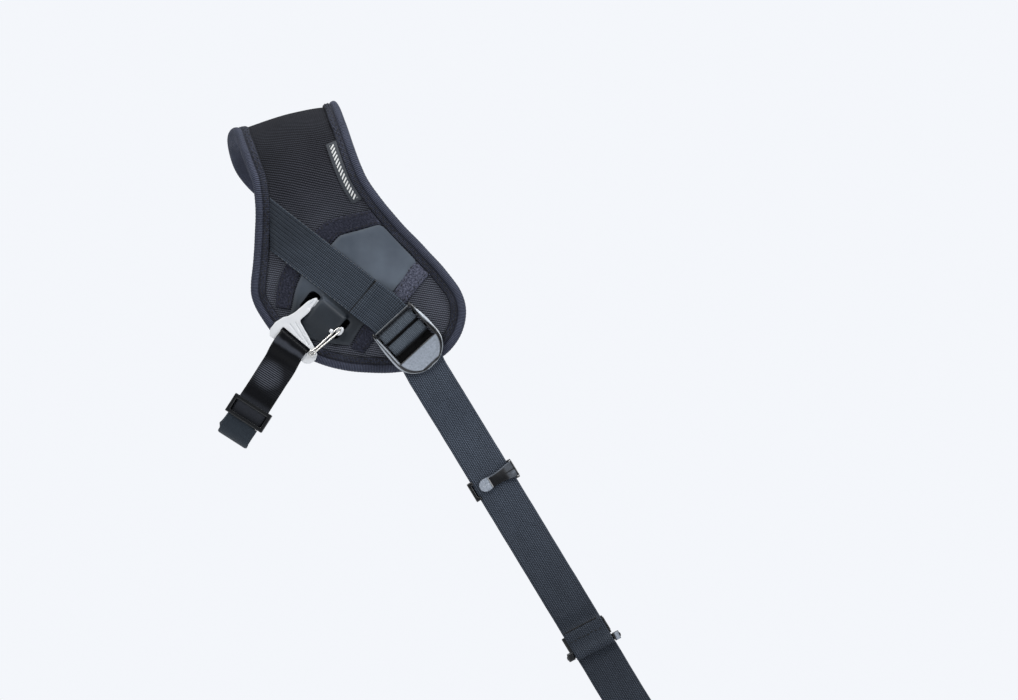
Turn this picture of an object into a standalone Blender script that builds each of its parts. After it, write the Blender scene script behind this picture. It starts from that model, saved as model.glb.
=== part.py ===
"""Cross-body sling strap with a curved padded shoulder rest.

Frame: origin at the middle of the flat rest face, where the pad's rear half
lies on the wearer's shoulder blade. +X runs towards the wearer's right side,
+Y towards the wearer's front (the rest face looks that way), +Z up.
Everything is laid out in millimetres from the top of the shoulder, then moved
so that the rest point is the origin, and stored in metres.
"""
import math
import bmesh
import bpy
import numpy as np


def vec(*values):
    return np.array(values, dtype=float)


def unit(vector):
    vector = np.asarray(vector, float)
    return vector / np.linalg.norm(vector)


def lerp(start, end, t):
    return start + (end - start) * t


def smoothstep(t):
    t = min(1.0, max(0.0, t))
    return t * t * (3 - 2 * t)


# ---------------------------------------------------------------- dimensions
MM = 0.001
REST_POINT = vec(37.0, -46.434, -97.4)  # middle of the rest face, from the shoulder top
FORE = vec(0, 1, 0)
AFT = vec(0, -1, 0)

WEB_W = 25.0                   # main webbing
WEB_T = 1.2                    # thickness of both webbings
ARM_W = 20.0                   # underarm webbing
HALF_WEB = WEB_W / 2
HALF_ARM = ARM_W / 2
GAP = 0.3                      # air between neighbouring layers
LAYER_STEP = WEB_T + GAP

# Pad side profile: shoulder arc, gentle back arc, then a flat rear half.
LEAN = math.radians(15.3)      # pad centreline leans this much from vertical
R_TOP = 46.0                   # shoulder radius under the pad
A_TOP = math.radians(84.0)
R_BACK = 180.0
A_BACK = math.radians(6.0)
A_FRONT = math.radians(50.0)   # slope of the straight front half

# Heights above the wearer's side of the lining, (low, high).
LINING = (0.0, 1.0)
FOAM = (LINING[1] + GAP, 6.9)
PANEL = (FOAM[1] + GAP, 8.2)
PATCH = (8.6, 9.8)
SEWN_TAPE = (PANEL[1] + GAP, 9.2)
BINDING = (-1.0, 9.4)
BIND_T = 0.8                   # tape thickness at the rim and on the outer side
BIND_INNER_T = 0.7             # tape thickness on the wearer's side
BIND_W = 9.0
SEWN_INSET = BIND_W + 0.5      # pieces that end next to the binding

# Ladder buckle
BAR_A = 6.5                    # upper bar, from the top rim
BAR_B = 16.5                   # lower bar
BAR_HEIGHT = 14.0
BAR_R = 1.6
LOOP_R = BAR_R + 0.4 + WEB_T / 2

# Main webbing
BACK_HEIGHT = 2.0              # middle of the standing layer down the back
STANDING_HEIGHT = 10.3 + WEB_T / 2             # the same layer at the buckle
TAIL_HEIGHT = STANDING_HEIGHT + LAYER_STEP     # adjusting tail at the buckle
TAIL_LIFT = 0.1                # extra air under the tail further down
HIP_TURN = 335.0               # distance down the back where the strap turns
HIP_R = 70.0
FRONT_Y = 143.0
FRONT_SHIFT = -4.0             # front run lies this far across, to the wearer's left
REAR_STOPPER_AT = 70.0
FRONT_STOPPER_AT = 190.0
TAIL_END = 184.0               # bar of the tail slide

# Carabiner, underarm strap and front ring
CLIP_HEIGHTS = (11.2, 14.2)
ARM_LAYERS = (11.05, 12.6)     # middles of the two layers at the slider
ARM_HEIGHT = 11.8              # single layer where the lower part starts
RING_LENGTH = 9.0
RING_R = 1.3


# ---------------------------------------------------------------- materials
FINISHES = {
    "webbing": dict(color=(0.021, 0.026, 0.034), roughness=0.75),
    "pad_cloth": dict(color=(0.030, 0.027, 0.029), roughness=0.85),
    "binding": dict(color=(0.020, 0.023, 0.037), roughness=0.8),
    "tape": dict(color=(0.022, 0.020, 0.032), roughness=0.95),
    "rubber": dict(color=(0.034, 0.042, 0.048), roughness=0.55),
    "foam": dict(color=(0.05, 0.05, 0.05), roughness=0.95),
    "lining": dict(color=(0.035, 0.037, 0.042), roughness=0.9),
    "buckle": dict(color=(0.012, 0.013, 0.015), roughness=0.22),
    "white": dict(color=(0.82, 0.83, 0.84), roughness=0.3),
    "steel": dict(color=(0.72, 0.72, 0.73), roughness=0.22, metallic=1.0),
    "arm": dict(color=(0.010, 0.011, 0.014), roughness=0.3),
    "tag": dict(color=(0.05, 0.06, 0.08), roughness=0.8),
}


def material(name, color, roughness, metallic=0.0):
    mat = bpy.data.materials.new(name)
    mat.use_nodes = True
    shader = mat.node_tree.nodes["Principled BSDF"]
    shader.inputs["Base Color"].default_value = (*color, 1.0)
    shader.inputs["Roughness"].default_value = roughness
    shader.inputs["Metallic"].default_value = metallic
    mat.diffuse_color = (*color, 1.0)
    return mat


# ------------------------------------------------------------------- objects
def link_mesh(name, shape, origin=(0, 0, 0)):
    """Object from (points, faces) in mm; origin is the object's own origin."""
    points, faces = shape
    origin = vec(*origin)
    bm = bmesh.new()
    verts = [bm.verts.new(tuple((point - origin) * MM)) for point in points]
    for face in faces:
        bm.faces.new([verts[i] for i in face])
    bmesh.ops.recalc_face_normals(bm, faces=bm.faces)
    mesh = bpy.data.meshes.new(name)
    bm.to_mesh(mesh)
    bm.free()
    obj = bpy.data.objects.new(name, mesh)
    obj.location = tuple((origin - REST_POINT) * MM)
    bpy.context.scene.collection.objects.link(obj)
    return obj


def piece(name, shape, finish, origin=(0, 0, 0)):
    """A visible body with its own material."""
    obj = link_mesh(name, shape, origin)
    obj.data.materials.append(material(name + "_mat", **FINISHES[finish]))
    return obj


def combine(body, name, shape, operation):
    """Boolean modifier on body with a hidden helper of the same name."""
    tool = link_mesh(name, shape)
    tool.hide_render = True
    tool.display_type = 'WIRE'
    modifier = body.modifiers.new(name, 'BOOLEAN')
    modifier.object = tool
    modifier.operation = operation
    modifier.solver = 'EXACT'


def cut(body, name, shape):
    combine(body, name, shape, 'DIFFERENCE')


def fuse(body, name, shape):
    combine(body, name, shape, 'UNION')


# -------------------------------------------------------------------- frames
class Frame:
    """Local frame: along, across, height."""

    def __init__(self, origin, along, across, height):
        self.origin = origin
        self.along = unit(along)
        self.across = unit(across)
        self.height = unit(height)

    def at(self, along, across, height):
        return (self.origin + self.along * along + self.across * across
                + self.height * height)

    def at_y(self, along, across, y):
        """Point placed along and across, then set to a given y."""
        point = self.at(along, across, 0)
        point[1] = y
        return point


# -------------------------------------------------------------------- shapes
def loft(sections, closed=False):
    """Side faces through matching sections, with end caps when open."""
    size = len(sections[0])
    count = len(sections)
    points = [point for section in sections for point in section]
    faces = []
    for i in range(count if closed else count - 1):
        a, b = i * size, ((i + 1) % count) * size
        for j in range(size):
            k = (j + 1) % size
            faces.append((a + j, a + k, b + k, b + j))
    if not closed:
        faces.append(tuple(range(size)))
        faces.append(tuple(range((count - 1) * size, count * size)))
    return points, faces


def strip(rows, thickness=WEB_T):
    """Flat band: rows of (centre, width direction, normal, half width)."""
    sections = []
    for centre, across, normal, half_width in rows:
        side = unit(across) * half_width
        lift = unit(normal) * thickness / 2
        sections.append([centre + side + lift, centre - side + lift,
                         centre - side - lift, centre + side - lift])
    return loft(sections)


def arc(along, height, radius, start, end, steps):
    """Points on a circle in the (along, height) plane, angles in degrees."""
    points = []
    for i in range(steps + 1):
        angle = math.radians(start + (end - start) * i / steps)
        points.append((along + radius * math.cos(angle),
                       height + radius * math.sin(angle)))
    return points


def ribbon_rows(frame, path, half_width, across=0.0):
    """Rows for a band that follows a path of (along, height) points."""
    rows = []
    for i, (along, height) in enumerate(path):
        before = path[max(i - 1, 0)]
        after = path[min(i + 1, len(path) - 1)]
        run, rise = after[0] - before[0], after[1] - before[1]
        rows.append((frame.at(along, across, height), frame.across,
                     frame.height * run - frame.along * rise, half_width))
    return rows


def bend_rows(frame, along, y, radius, start, end, laterals, half_width):
    """Rows round a bend about (along, y), degrees from along towards +Y.

    laterals holds the sideways place of each row; normals point outwards.
    """
    rows = []
    for i, lateral in enumerate(laterals):
        angle = math.radians(start + (end - start) * i / (len(laterals) - 1))
        centre = frame.at_y(along + radius * math.cos(angle), lateral,
                            y + radius * math.sin(angle))
        normal = frame.along * math.cos(angle) + FORE * math.sin(angle)
        rows.append((centre, frame.across, normal, half_width))
    return rows


def prism(frame, outline, heights):
    """Straight-sided body over an outline of (along, across) points."""
    return loft([[frame.at(along, across, height) for along, across in outline]
                 for height in heights])


def box(frame, along, across, heights):
    """Box over (low, high) ranges in the frame."""
    outline = [(along[0], across[0]), (along[1], across[0]),
               (along[1], across[1]), (along[0], across[1])]
    return prism(frame, outline, heights)


def side_range(sign, inner, outer):
    """The across range from inner to outer on one side of the centreline."""
    return sorted((sign * inner, sign * outer))


def tube(points, radius, sides=8, closed=False):
    """Round wire or bar through a list of points."""
    count = len(points)
    sections = []
    up = None
    for i, centre in enumerate(points):
        before = points[(i - 1) % count] if (closed or i > 0) else centre
        after = points[(i + 1) % count] if (closed or i < count - 1) else centre
        tangent = unit(after - before)
        if up is None:
            up = vec(0, 1, 0) if abs(tangent[1]) < 0.9 else vec(0, 0, 1)
        up = unit(up - tangent * np.dot(up, tangent))
        side = np.cross(tangent, up)
        angles = [2 * math.pi * j / sides + math.pi / sides for j in range(sides)]
        sections.append([centre + radius * (math.cos(angle) * up + math.sin(angle) * side)
                         for angle in angles])
    return loft(sections, closed)


def rod(frame, start, end, radius, sides):
    """Straight round bar between two (along, across, height) places."""
    return tube([frame.at(*start), frame.at(*end)], radius, sides)


# ---------------------------------------------------------- the pad's surface
PAD_ACROSS = vec(math.cos(LEAN), 0, math.sin(LEAN))
PAD_UP = vec(-math.sin(LEAN), 0, math.cos(LEAN))


def profile(q):
    """Side profile: (y, height, angle) at arc length q, back positive."""
    if q < 0:
        q = -q
        angle = min(q / R_TOP, A_FRONT)
        straight = max(q - R_TOP * A_FRONT, 0.0)
        return (R_TOP * math.sin(angle) + straight * math.cos(angle),
                -R_TOP * (1 - math.cos(angle)) - straight * math.sin(angle), angle)
    top_length = R_TOP * A_TOP
    back_length = R_BACK * A_BACK
    if q < top_length:
        angle = q / R_TOP
        return -R_TOP * math.sin(angle), -R_TOP * (1 - math.cos(angle)), angle
    y = -R_TOP * math.sin(A_TOP)
    height = -R_TOP * (1 - math.cos(A_TOP))
    if q < top_length + back_length:
        angle = A_TOP + (q - top_length) / R_BACK
        return (y - R_BACK * (math.sin(angle) - math.sin(A_TOP)),
                height - R_BACK * (math.cos(A_TOP) - math.cos(angle)), angle)
    y -= R_BACK * (1 - math.sin(A_TOP))
    height -= R_BACK * math.cos(A_TOP)
    return y, height - (q - top_length - back_length), math.pi / 2


def pad_normal(q):
    angle = profile(q)[2]
    return PAD_UP * math.cos(angle) + (AFT if q >= 0 else FORE) * math.sin(angle)


def on_pad(across, q, height):
    """Point at pattern position (across, q), at a height above the lining."""
    y, rise, _ = profile(q)
    point = PAD_ACROSS * across + PAD_UP * rise
    point[1] = y
    return point + pad_normal(q) * height


Y_BACK = profile(120.0)[0]     # plane of the pad's flat rear half

# Outline of the pad's flat pattern, (across, q), going down the left side
# of the back, round the lobe, up the right side and round the front end.
OUTLINE = [
    (-36, 0), (-32, 14), (-30.5, 33), (-28.7, 48), (-28, 58), (-31.5, 74),
    (-39, 97), (-44.5, 111), (-46, 121), (-43.5, 133), (-36.5, 150),
    (-26, 161), (-10, 172.5), (12, 181.5), (33, 185.5), (52, 183.5),
    (66, 175), (74, 162), (74.5, 149), (69, 133.5), (61.5, 119), (50, 97.5),
    (40.5, 76), (37, 62), (35.5, 48), (34.5, 32), (33, 14), (32, 0),
    (30.5, -20), (29.5, -40), (30.5, -62), (33.5, -84), (38, -106),
    (43, -126), (45.5, -141), (42.5, -151), (34, -157), (25, -158.5),
    (15, -156.5), (7, -150), (2, -140), (-3, -125), (-10, -104),
    (-20, -82), (-31, -62), (-38.5, -44), (-40.5, -30), (-39, -14),
]


def pad_curve(per_span):
    """Closed Catmull-Rom curve through the outline."""
    count = len(OUTLINE)
    curve = []
    for i in range(count):
        p0, p1, p2, p3 = (vec(*OUTLINE[(i + j - 1) % count]) for j in range(4))
        for k in range(per_span):
            t = k / per_span
            curve.append(0.5 * ((2 * p1) + (p2 - p0) * t
                                + (2 * p0 - 5 * p1 + 4 * p2 - p3) * t * t
                                + (3 * p1 - p0 - 3 * p2 + p3) * t ** 3))
    return np.array(curve)


def inset(curve, distance):
    """The closed curve moved inwards, which is to the right of its travel."""
    tangents = np.roll(curve, -1, 0) - np.roll(curve, 1, 0)
    tangents /= np.linalg.norm(tangents, axis=1)[:, None]
    return curve + np.stack([tangents[:, 1], -tangents[:, 0]], 1) * distance


def span_at(curve, q):
    """Left and right crossing of the closed curve at one q."""
    crossings = []
    for i in range(len(curve)):
        a, b = curve[i], curve[(i + 1) % len(curve)]
        if (a[1] - q) * (b[1] - q) < 0:
            crossings.append(a[0] + (b[0] - a[0]) * (q - a[1]) / (b[1] - a[1]))
    return min(crossings), max(crossings)


# ---------------------------------------------------------------- pad layers
def pad_sheet(name, margin, heights, finish, rest_margin=0.0):
    """A sheet of the pad, inset by margin from the outline.

    rest_margin makes a flat middle field stand out on the underside, this far
    in from both sides and clear of the binding at both ends.
    """
    low, high = heights
    rest_depth = 0.3
    curve = inset(pad_curve(4), margin)
    q_min, q_max = curve[:, 1].min(), curve[:, 1].max()
    stations = [q_min + step for step in (0.15, 1.0, 2.5, 5.0, 9.0)]
    q = q_min + 16.0
    while q < -44.0:
        stations.append(q)
        q += 14.0
    stations += [-40.1 + i * 8.0 for i in range(16)]
    q = 93.0
    while q < q_max - 30.0:
        stations.append(q)
        q += 9.0
    stations += [q_max - step for step in (24.0, 18.0, 13.0, 9.0, 6.0, 3.5, 1.8, 0.8, 0.15)]
    sections = []
    for q in stations:
        left, right = span_at(curve, q)
        section = [on_pad(left, q, low), on_pad(right, q, low),
                   on_pad(right, q, high), on_pad(left, q, high)]
        if rest_margin:
            side = min(rest_margin, 0.3 * (right - left))
            in_rest = q_min + 16.0 < q < q_max - 13.5
            rest = low - (rest_depth if in_rest else 0.0)
            section[1:1] = [on_pad(left + side, q, rest), on_pad(right - side, q, rest)]
        sections.append(section)
    piece(name, loft(sections), finish)


def pad_band(name, edges, heights, finish):
    """Flat piece on the pad between pairs of (across, q) edge points."""
    low, high = heights
    piece(name, loft([[on_pad(*a, low), on_pad(*b, low), on_pad(*b, high), on_pad(*a, high)]
                      for a, b in edges]), finish)


def build_edge_binding():
    """C-section tape folded over the rim, all the way round."""
    low, high = BINDING
    rim = pad_curve(2)
    sections = []
    for outer, wall, inner in zip(rim, inset(rim, BIND_T), inset(rim, BIND_W)):
        sections.append([
            on_pad(*outer, low), on_pad(*inner, low),
            on_pad(*inner, low + BIND_INNER_T), on_pad(*wall, low + BIND_INNER_T),
            on_pad(*wall, high - BIND_T), on_pad(*inner, high - BIND_T),
            on_pad(*inner, high), on_pad(*outer, high)])
    piece("pad_edge_binding", loft(sections, closed=True), "binding")


# ------------------------------------------------------- local flat frames
def back_frame(x, z, along_x, along_z, turn=1.0):
    """Frame on the flat back plane; turn = -1 mirrors the across direction."""
    return Frame(vec(x, Y_BACK, z), (along_x, 0, along_z),
                 (-along_z * turn, 0, along_x * turn), AFT)


BUCKLE = back_frame(62.3, -114.3, 0.676, -0.737)        # from the top rim, downwards
BACK = back_frame(87.2, -150.8, 0.5186, -0.855)         # main webbing, down the back
CLIP = back_frame(5.7, -127.7, 0.642, 0.766, turn=-1)   # carabiner, up to the slots
ARM = back_frame(5.7, -127.7, -0.5388, -0.8424)         # underarm strap, down and left
SEW_ALONG = unit((0.789, 0, -0.614))                    # webbing sewn across the pad
SEW_ACROSS = unit((0.614, 0, 0.789))
BUCKLE_ORIGIN = BUCKLE.at(BAR_A, 0, BAR_HEIGHT)

# --------------------------------------------------------------- anchor patch
# (across, q)
PATCH_OUTLINE = [
    (8.5, 101.0), (14.0, 97.5), (27.0, 97.8), (36.0, 98.8),
    (44.5, 112.0), (50.0, 124.0), (35.0, 138.3), (12.5, 152.8),
    (2.5, 162.0), (-12.0, 156.5), (-23.5, 149.5), (-30.5, 139.0),
    (-25.0, 132.0), (-20.0, 122.0), (-13.0, 113.0),
]
# Two sewn tapes that frame the patch, pairs of (across, q) edge points.
UPPER_TAPE = [
    ((-34.0, 128.5), (-26.0, 131.7)), ((-29.2, 116.5), (-20.7, 121.5)),
    ((-21.4, 106.0), (-13.6, 112.5)), ((-7.0, 95.5), (-1.0, 104.8)),
    ((1.6, 90.8), (8.2, 100.2)), ((9.5, 87.3), (14.0, 97.1)),
    ((18.1, 87.3), (27.0, 97.4)), ((30.0, 88.8), (34.5, 98.2)),
]
LOWER_TAPE = [
    ((50.8, 124.6), (58.0, 134.5)), ((35.5, 138.8), (41.3, 146.0)),
    ((13.0, 153.3), (17.5, 162.5)), ((3.0, 163.6), (9.0, 168.5)),
]


def build_anchor_patch():
    """Rubber patch with two slots and a raised bridge between them."""
    slot_start, slot_end = 15.5, 30.5            # along the carabiner
    slot_1 = (-10.5, -3.9)                       # across it
    slot_2 = (14.5, 18.5)
    foot, shoulder, crown = 9.2, 13.1, 13.9      # heights of the bridge band
    patch = piece("anchor_patch", loft([[on_pad(*point, height) for point in PATCH_OUTLINE]
                                        for height in PATCH]), "rubber")
    cut(patch, "patch_window_cutter",
        box(CLIP, (slot_start, slot_end), (slot_1[0], slot_2[1]), (7.9, 11.0)))
    path = [(slot_start - 2.0, foot), (slot_start + 0.6, foot), (18.6, shoulder),
            (20.0, crown), (29.0, crown), (30.0, shoulder),
            (slot_end + 0.4, foot), (slot_end + 2.4, foot)]
    rows = ribbon_rows(CLIP, path, half_width=(slot_2[0] - slot_1[1]) / 2,
                       across=(slot_1[1] + slot_2[0]) / 2)
    fuse(patch, "patch_bridge_body", strip(rows, thickness=1.0))


# ------------------------------------------------- webbing sewn to the pad
def build_rear_anchor_webbing():
    """Webbing across the pad to the buckle's upper bar, round it and back."""
    low = PATCH[1] + GAP + WEB_T / 2
    high = low + LAYER_STEP + 0.1
    doubled_from = 67.0
    # Its rear end is cut along the binding's inner edge.
    end_top = on_pad(-19.0, 67.0, BINDING[1])
    end_low = on_pad(-28.2, 95.0, BINDING[1])
    rows = [((end_top + end_low) / 2, end_top - end_low, pad_normal(80.0),
             float(np.linalg.norm(end_top - end_low)) / 2)]
    start = end_top - SEW_ACROSS * HALF_WEB
    start[1] = Y_BACK
    for distance, height in ((19.0, low), (40.0, low), (62.0, low),
                             (doubled_from, high), (78.0, high), (86.0, high)):
        t = max(0.0, (distance - doubled_from) / 30.0)
        rows.append((start + SEW_ALONG * distance + AFT * height,
                     lerp(SEW_ACROSS, BUCKLE.across, t), AFT, HALF_WEB))
    path = [(-1.5, high), (0.8, high), (2.3, high + 0.4)]
    path += arc(BAR_A, BAR_HEIGHT, LOOP_R, 195, -90, 14)
    path += [(3.5, low + 0.35), (0.5, low), (-8.0, low), (-20.5, low)]
    rows += ribbon_rows(BUCKLE, path, HALF_WEB)
    # The returned end lies askew, closer to the sewn run's direction.
    centre, _, normal, half_width = rows[-1]
    rows[-1] = (centre + BUCKLE.across * 1.6, lerp(BUCKLE.across, SEW_ACROSS, 0.7),
                normal, half_width)
    piece("rear_anchor_webbing", strip(rows), "webbing")


def build_label_tag():
    """Narrow label beside the right-hand binding."""
    width, skew = 6.2, 0.6
    curve = inset(pad_curve(4), SEWN_INSET)
    edges = []
    for i in range(9):
        q = 46.5 + 34.0 * i / 8.0
        right = span_at(curve, q)[1]
        edges.append(((right - width, q + skew), (right, q - skew)))
    pad_band("label_tag", edges, SEWN_TAPE, "tag")


# ------------------------------------------------------------ ladder buckle
def build_ladder_buckle():
    """D-shaped frame: top rim, two rails, thumb plate, and two round bars."""
    length = 38.0
    round_from = 22.0                     # the thumb plate's rounding starts here
    rim_half, bulge = 15.2, 1.6
    inner_half = 13.35

    def half_width(along):
        if along < round_from:
            return rim_half + bulge * math.sin(math.pi * 0.5 * along / round_from)
        t = (along - round_from) / (length - round_from)
        return (rim_half + bulge) * math.sqrt(1.0 - t ** 2.3)

    stations = (0.0, 3.0, 8.0, 13.0, 18.0, 22.0, 25.0, 28.0, 31.0, 33.5, 35.5, 37.0, 37.7)
    edge = [(along, half_width(along)) for along in stations]
    outline = [(along, -across) for along, across in edge] + [(length, 0.0)] + edge[::-1]
    buckle = piece("ladder_buckle", prism(BUCKLE, outline, (14.0, 18.4)), "buckle",
                   BUCKLE_ORIGIN)
    for part, along, heights in (("window", (2.0, 24.2), (9.0, 22.0)),
                                 ("underside", (24.0, 45.0), (9.0, 14.9)),
                                 ("rim", (-2.0, 2.5), (9.0, 16.9))):
        cut(buckle, f"buckle_{part}_cutter",
            box(BUCKLE, along, (-inner_half, inner_half), heights))
    for letter, along in (("a", BAR_A), ("b", BAR_B)):
        fuse(buckle, "buckle_bar_" + letter,
             rod(BUCKLE, (along, -14.6, BAR_HEIGHT), (along, 14.6, BAR_HEIGHT), BAR_R, 12))
    for letter, sign in (("l", -1), ("r", 1)):
        fuse(buckle, "buckle_lug_" + letter,
             box(BUCKLE, (3.2, 20.0), side_range(sign, inner_half + 0.02, 15.08),
                 (12.0, 14.6)))


def build_ladder_webbing_wrap():
    """Webbing that turns over the lower bar; shares the buckle's origin."""
    path = [(BAR_B + 0.2, BAR_HEIGHT - LOOP_R)]
    path += arc(BAR_B, BAR_HEIGHT, LOOP_R, 262, 0, 14)[1:]
    path += [(BAR_B + LOOP_R + 0.3, BAR_HEIGHT - 0.8),
             (20.6, TAIL_HEIGHT + 0.35), (22.4, TAIL_HEIGHT)]
    piece("ladder_webbing_wrap", strip(ribbon_rows(BUCKLE, path, HALF_WEB)), "webbing",
          BUCKLE_ORIGIN)


# ---------------------------------------------------------- main webbing loop
BACK_STATIONS = (-6.0, 2.0, 8.0, 14.0, 20.0, 26.0, 32.0, 38.0, 80.0, 120.0, 160.0)
HIP_AFT_Y = Y_BACK - BACK_HEIGHT + HIP_R     # centres of the two hip bends
HIP_FORE_Y = FRONT_Y - HIP_R


def standing_height(along):
    """Height of the standing layer's middle along the back."""
    return lerp(STANDING_HEIGHT, BACK_HEIGHT, smoothstep((along - 2.0) / 34.0))


def tail_height(along):
    """Height of the adjusting tail's middle along the back."""
    return (standing_height(along) + LAYER_STEP
            + TAIL_LIFT * smoothstep((along - 2.0) / 10.0))


def swing_rows(stations, height, start, span):
    """Rows that swing from the buckle's direction to the back webbing's."""
    rows = []
    for along in stations:
        t = smoothstep((along - start) / span)
        centre = BUCKLE.at(along, 0, height)
        target = BACK.at(float(np.dot(centre - BACK.origin, BACK.along)), 0, height)
        rows.append((lerp(centre, target, t), lerp(BUCKLE.across, BACK.across, t),
                     AFT, HALF_WEB))
    return rows


def back_rows(stations, height_at):
    """Rows down the back, tilted to the slope of the height."""
    rows = []
    for along in stations:
        slope = height_at(along + 0.5) - height_at(along - 0.5)
        rows.append((BACK.at(along, 0, height_at(along)), BACK.across,
                     BACK.height - BACK.along * slope, HALF_WEB))
    return rows


def front_end_rows(start):
    """Curve from the front run's top over onto the pad's front end."""
    height = BINDING[1] + GAP + WEB_T / 2
    pad_edge = on_pad(25.0, -156.0, height)
    sewn_end = on_pad(18.5, -120.0, height)
    seam = unit(pad_edge - sewn_end)
    seam_normal = pad_normal(-156.0)
    seam_across = np.cross(seam, seam_normal)
    end = pad_edge + seam * 4.0
    span = float(np.linalg.norm(end - start))
    leave, arrive = -BACK.along * span, -seam * span
    rows = []
    for i in range(1, 10):
        t = i / 9.0
        # Cubic Hermite curve and its tangent
        centre = ((2 * t ** 3 - 3 * t ** 2 + 1) * start + (t ** 3 - 2 * t ** 2 + t) * leave
                  + (-2 * t ** 3 + 3 * t ** 2) * end + (t ** 3 - t ** 2) * arrive)
        tangent = unit((6 * t * t - 6 * t) * start + (3 * t * t - 4 * t + 1) * leave
                       + (-6 * t * t + 6 * t) * end + (3 * t * t - 2 * t) * arrive)
        across = unit(lerp(BACK.across, seam_across, smoothstep(t)))
        across = unit(across - tangent * np.dot(across, tangent))
        rows.append((centre, across, np.cross(tangent, across), HALF_WEB))
    for centre in (pad_edge - seam * 6.0, sewn_end):
        rows.append((centre, seam_across, seam_normal, HALF_WEB))
    return rows


def build_main_webbing():
    """From the buckle down the back, round the hip and up the front."""
    bend_steps = 9
    rows = swing_rows((17.1, 20.0, 25.0, 31.0), STANDING_HEIGHT, start=17.0, span=18.0)
    rows += back_rows(BACK_STATIONS + (210.0, 260.0, 300.0), standing_height)
    rows += bend_rows(BACK, HIP_TURN, HIP_AFT_Y, HIP_R, -90, 0,
                      [0.0] * (bend_steps + 1), HALF_WEB)
    shifts = [FRONT_SHIFT * smoothstep((i + 1) / (bend_steps + 1))
              for i in range(bend_steps + 1)]
    rows += bend_rows(BACK, HIP_TURN, HIP_FORE_Y, HIP_R, 0, 90, shifts, HALF_WEB)
    for along in (280.0, 220.0, 150.0, 80.0, 6.0):
        rows.append((BACK.at_y(along, FRONT_SHIFT, FRONT_Y), BACK.across, FORE, HALF_WEB))
    rows += front_end_rows(start=rows[-1][0])
    piece("main_webbing", strip(rows), "webbing")


def build_front_reinforcement():
    """Sewn layer under the webbing's front end."""
    curve = inset(pad_curve(4), SEWN_INSET)
    edges = []
    for q in (-108.0, -120.0, -132.0, -141.0):
        left, right = span_at(curve, q)
        edges.append(((left, q), (right, q)))
    pad_band("front_reinforcement", edges, SEWN_TAPE, "tape")


# ------------------------------------------------------------- adjusting tail
SLIDE_BAR_R = 1.1
SLIDE_LOOP_R = SLIDE_BAR_R + 0.35 + WEB_T / 2
RETURN_HEIGHT = BACK_HEIGHT + LAYER_STEP + TAIL_LIFT     # layer returning from the slide
SLIDE_BAR_HEIGHT = RETURN_HEIGHT + SLIDE_LOOP_R


def build_tail_webbing():
    """Tail over the standing layer, looped round the slide's bar."""
    outer = RETURN_HEIGHT + LAYER_STEP + 0.1
    rows = swing_rows((23.2, 27.0, 31.0), TAIL_HEIGHT, start=23.2, span=12.0)
    rows += back_rows(BACK_STATIONS, tail_height)
    path = [(165.0, RETURN_HEIGHT + 0.3), (169.0, outer), (176.0, outer),
            (180.0, outer + 0.8), (TAIL_END - 1.2, SLIDE_BAR_HEIGHT + SLIDE_LOOP_R - 0.15)]
    path += arc(TAIL_END, SLIDE_BAR_HEIGHT, SLIDE_LOOP_R, 80, -90, 10)
    path += [(180.0, RETURN_HEIGHT), (170.0, RETURN_HEIGHT)]
    rows += ribbon_rows(BACK, path, HALF_WEB)
    piece("tail_webbing", strip(rows), "webbing")


def build_tail_triglide():
    """Slide: outer bar with end blocks and a flat bar next to the back."""
    slide = piece("tail_triglide",
                  rod(BACK, (TAIL_END, -17.6, SLIDE_BAR_HEIGHT),
                      (TAIL_END, 17.6, SLIDE_BAR_HEIGHT), SLIDE_BAR_R, 10), "buckle")
    for letter, sign in (("l", -1), ("r", 1)):
        fuse(slide, "triglide_end_" + letter,
             box(BACK, (TAIL_END - 2.3, TAIL_END + 2.3), side_range(sign, 13.3, 17.2),
                 (-1.6, SLIDE_BAR_HEIGHT + 2.0)))
    fuse(slide, "triglide_rear",
         box(BACK, (TAIL_END - 1.9, TAIL_END + 1.9), (-14.0, 14.0), (-1.4, 0.9)))


# ------------------------------------------------------------------ stoppers
# Lever stations from the pin: (across, half width, low, high); barrel round
# the pin, waist, broad tip.
LEVER_STATIONS = [
    (1.25, 4.7, -0.2, 1.1), (0.4, 4.85, -1.1, 1.35), (-1.0, 4.9, -1.1, 1.45),
    (-2.6, 4.7, -0.7, 1.5), (-6.0, 4.1, -0.5, 1.35), (-10.5, 3.5, -0.5, 0.85),
    (-14.5, 3.6, -0.4, 0.75), (-17.0, 3.9, -0.2, 1.25), (-19.0, 4.2, 0.0, 1.55),
    (-21.5, 3.9, 0.1, 1.5), (-22.8, 2.4, 0.3, 1.3),
]


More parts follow.
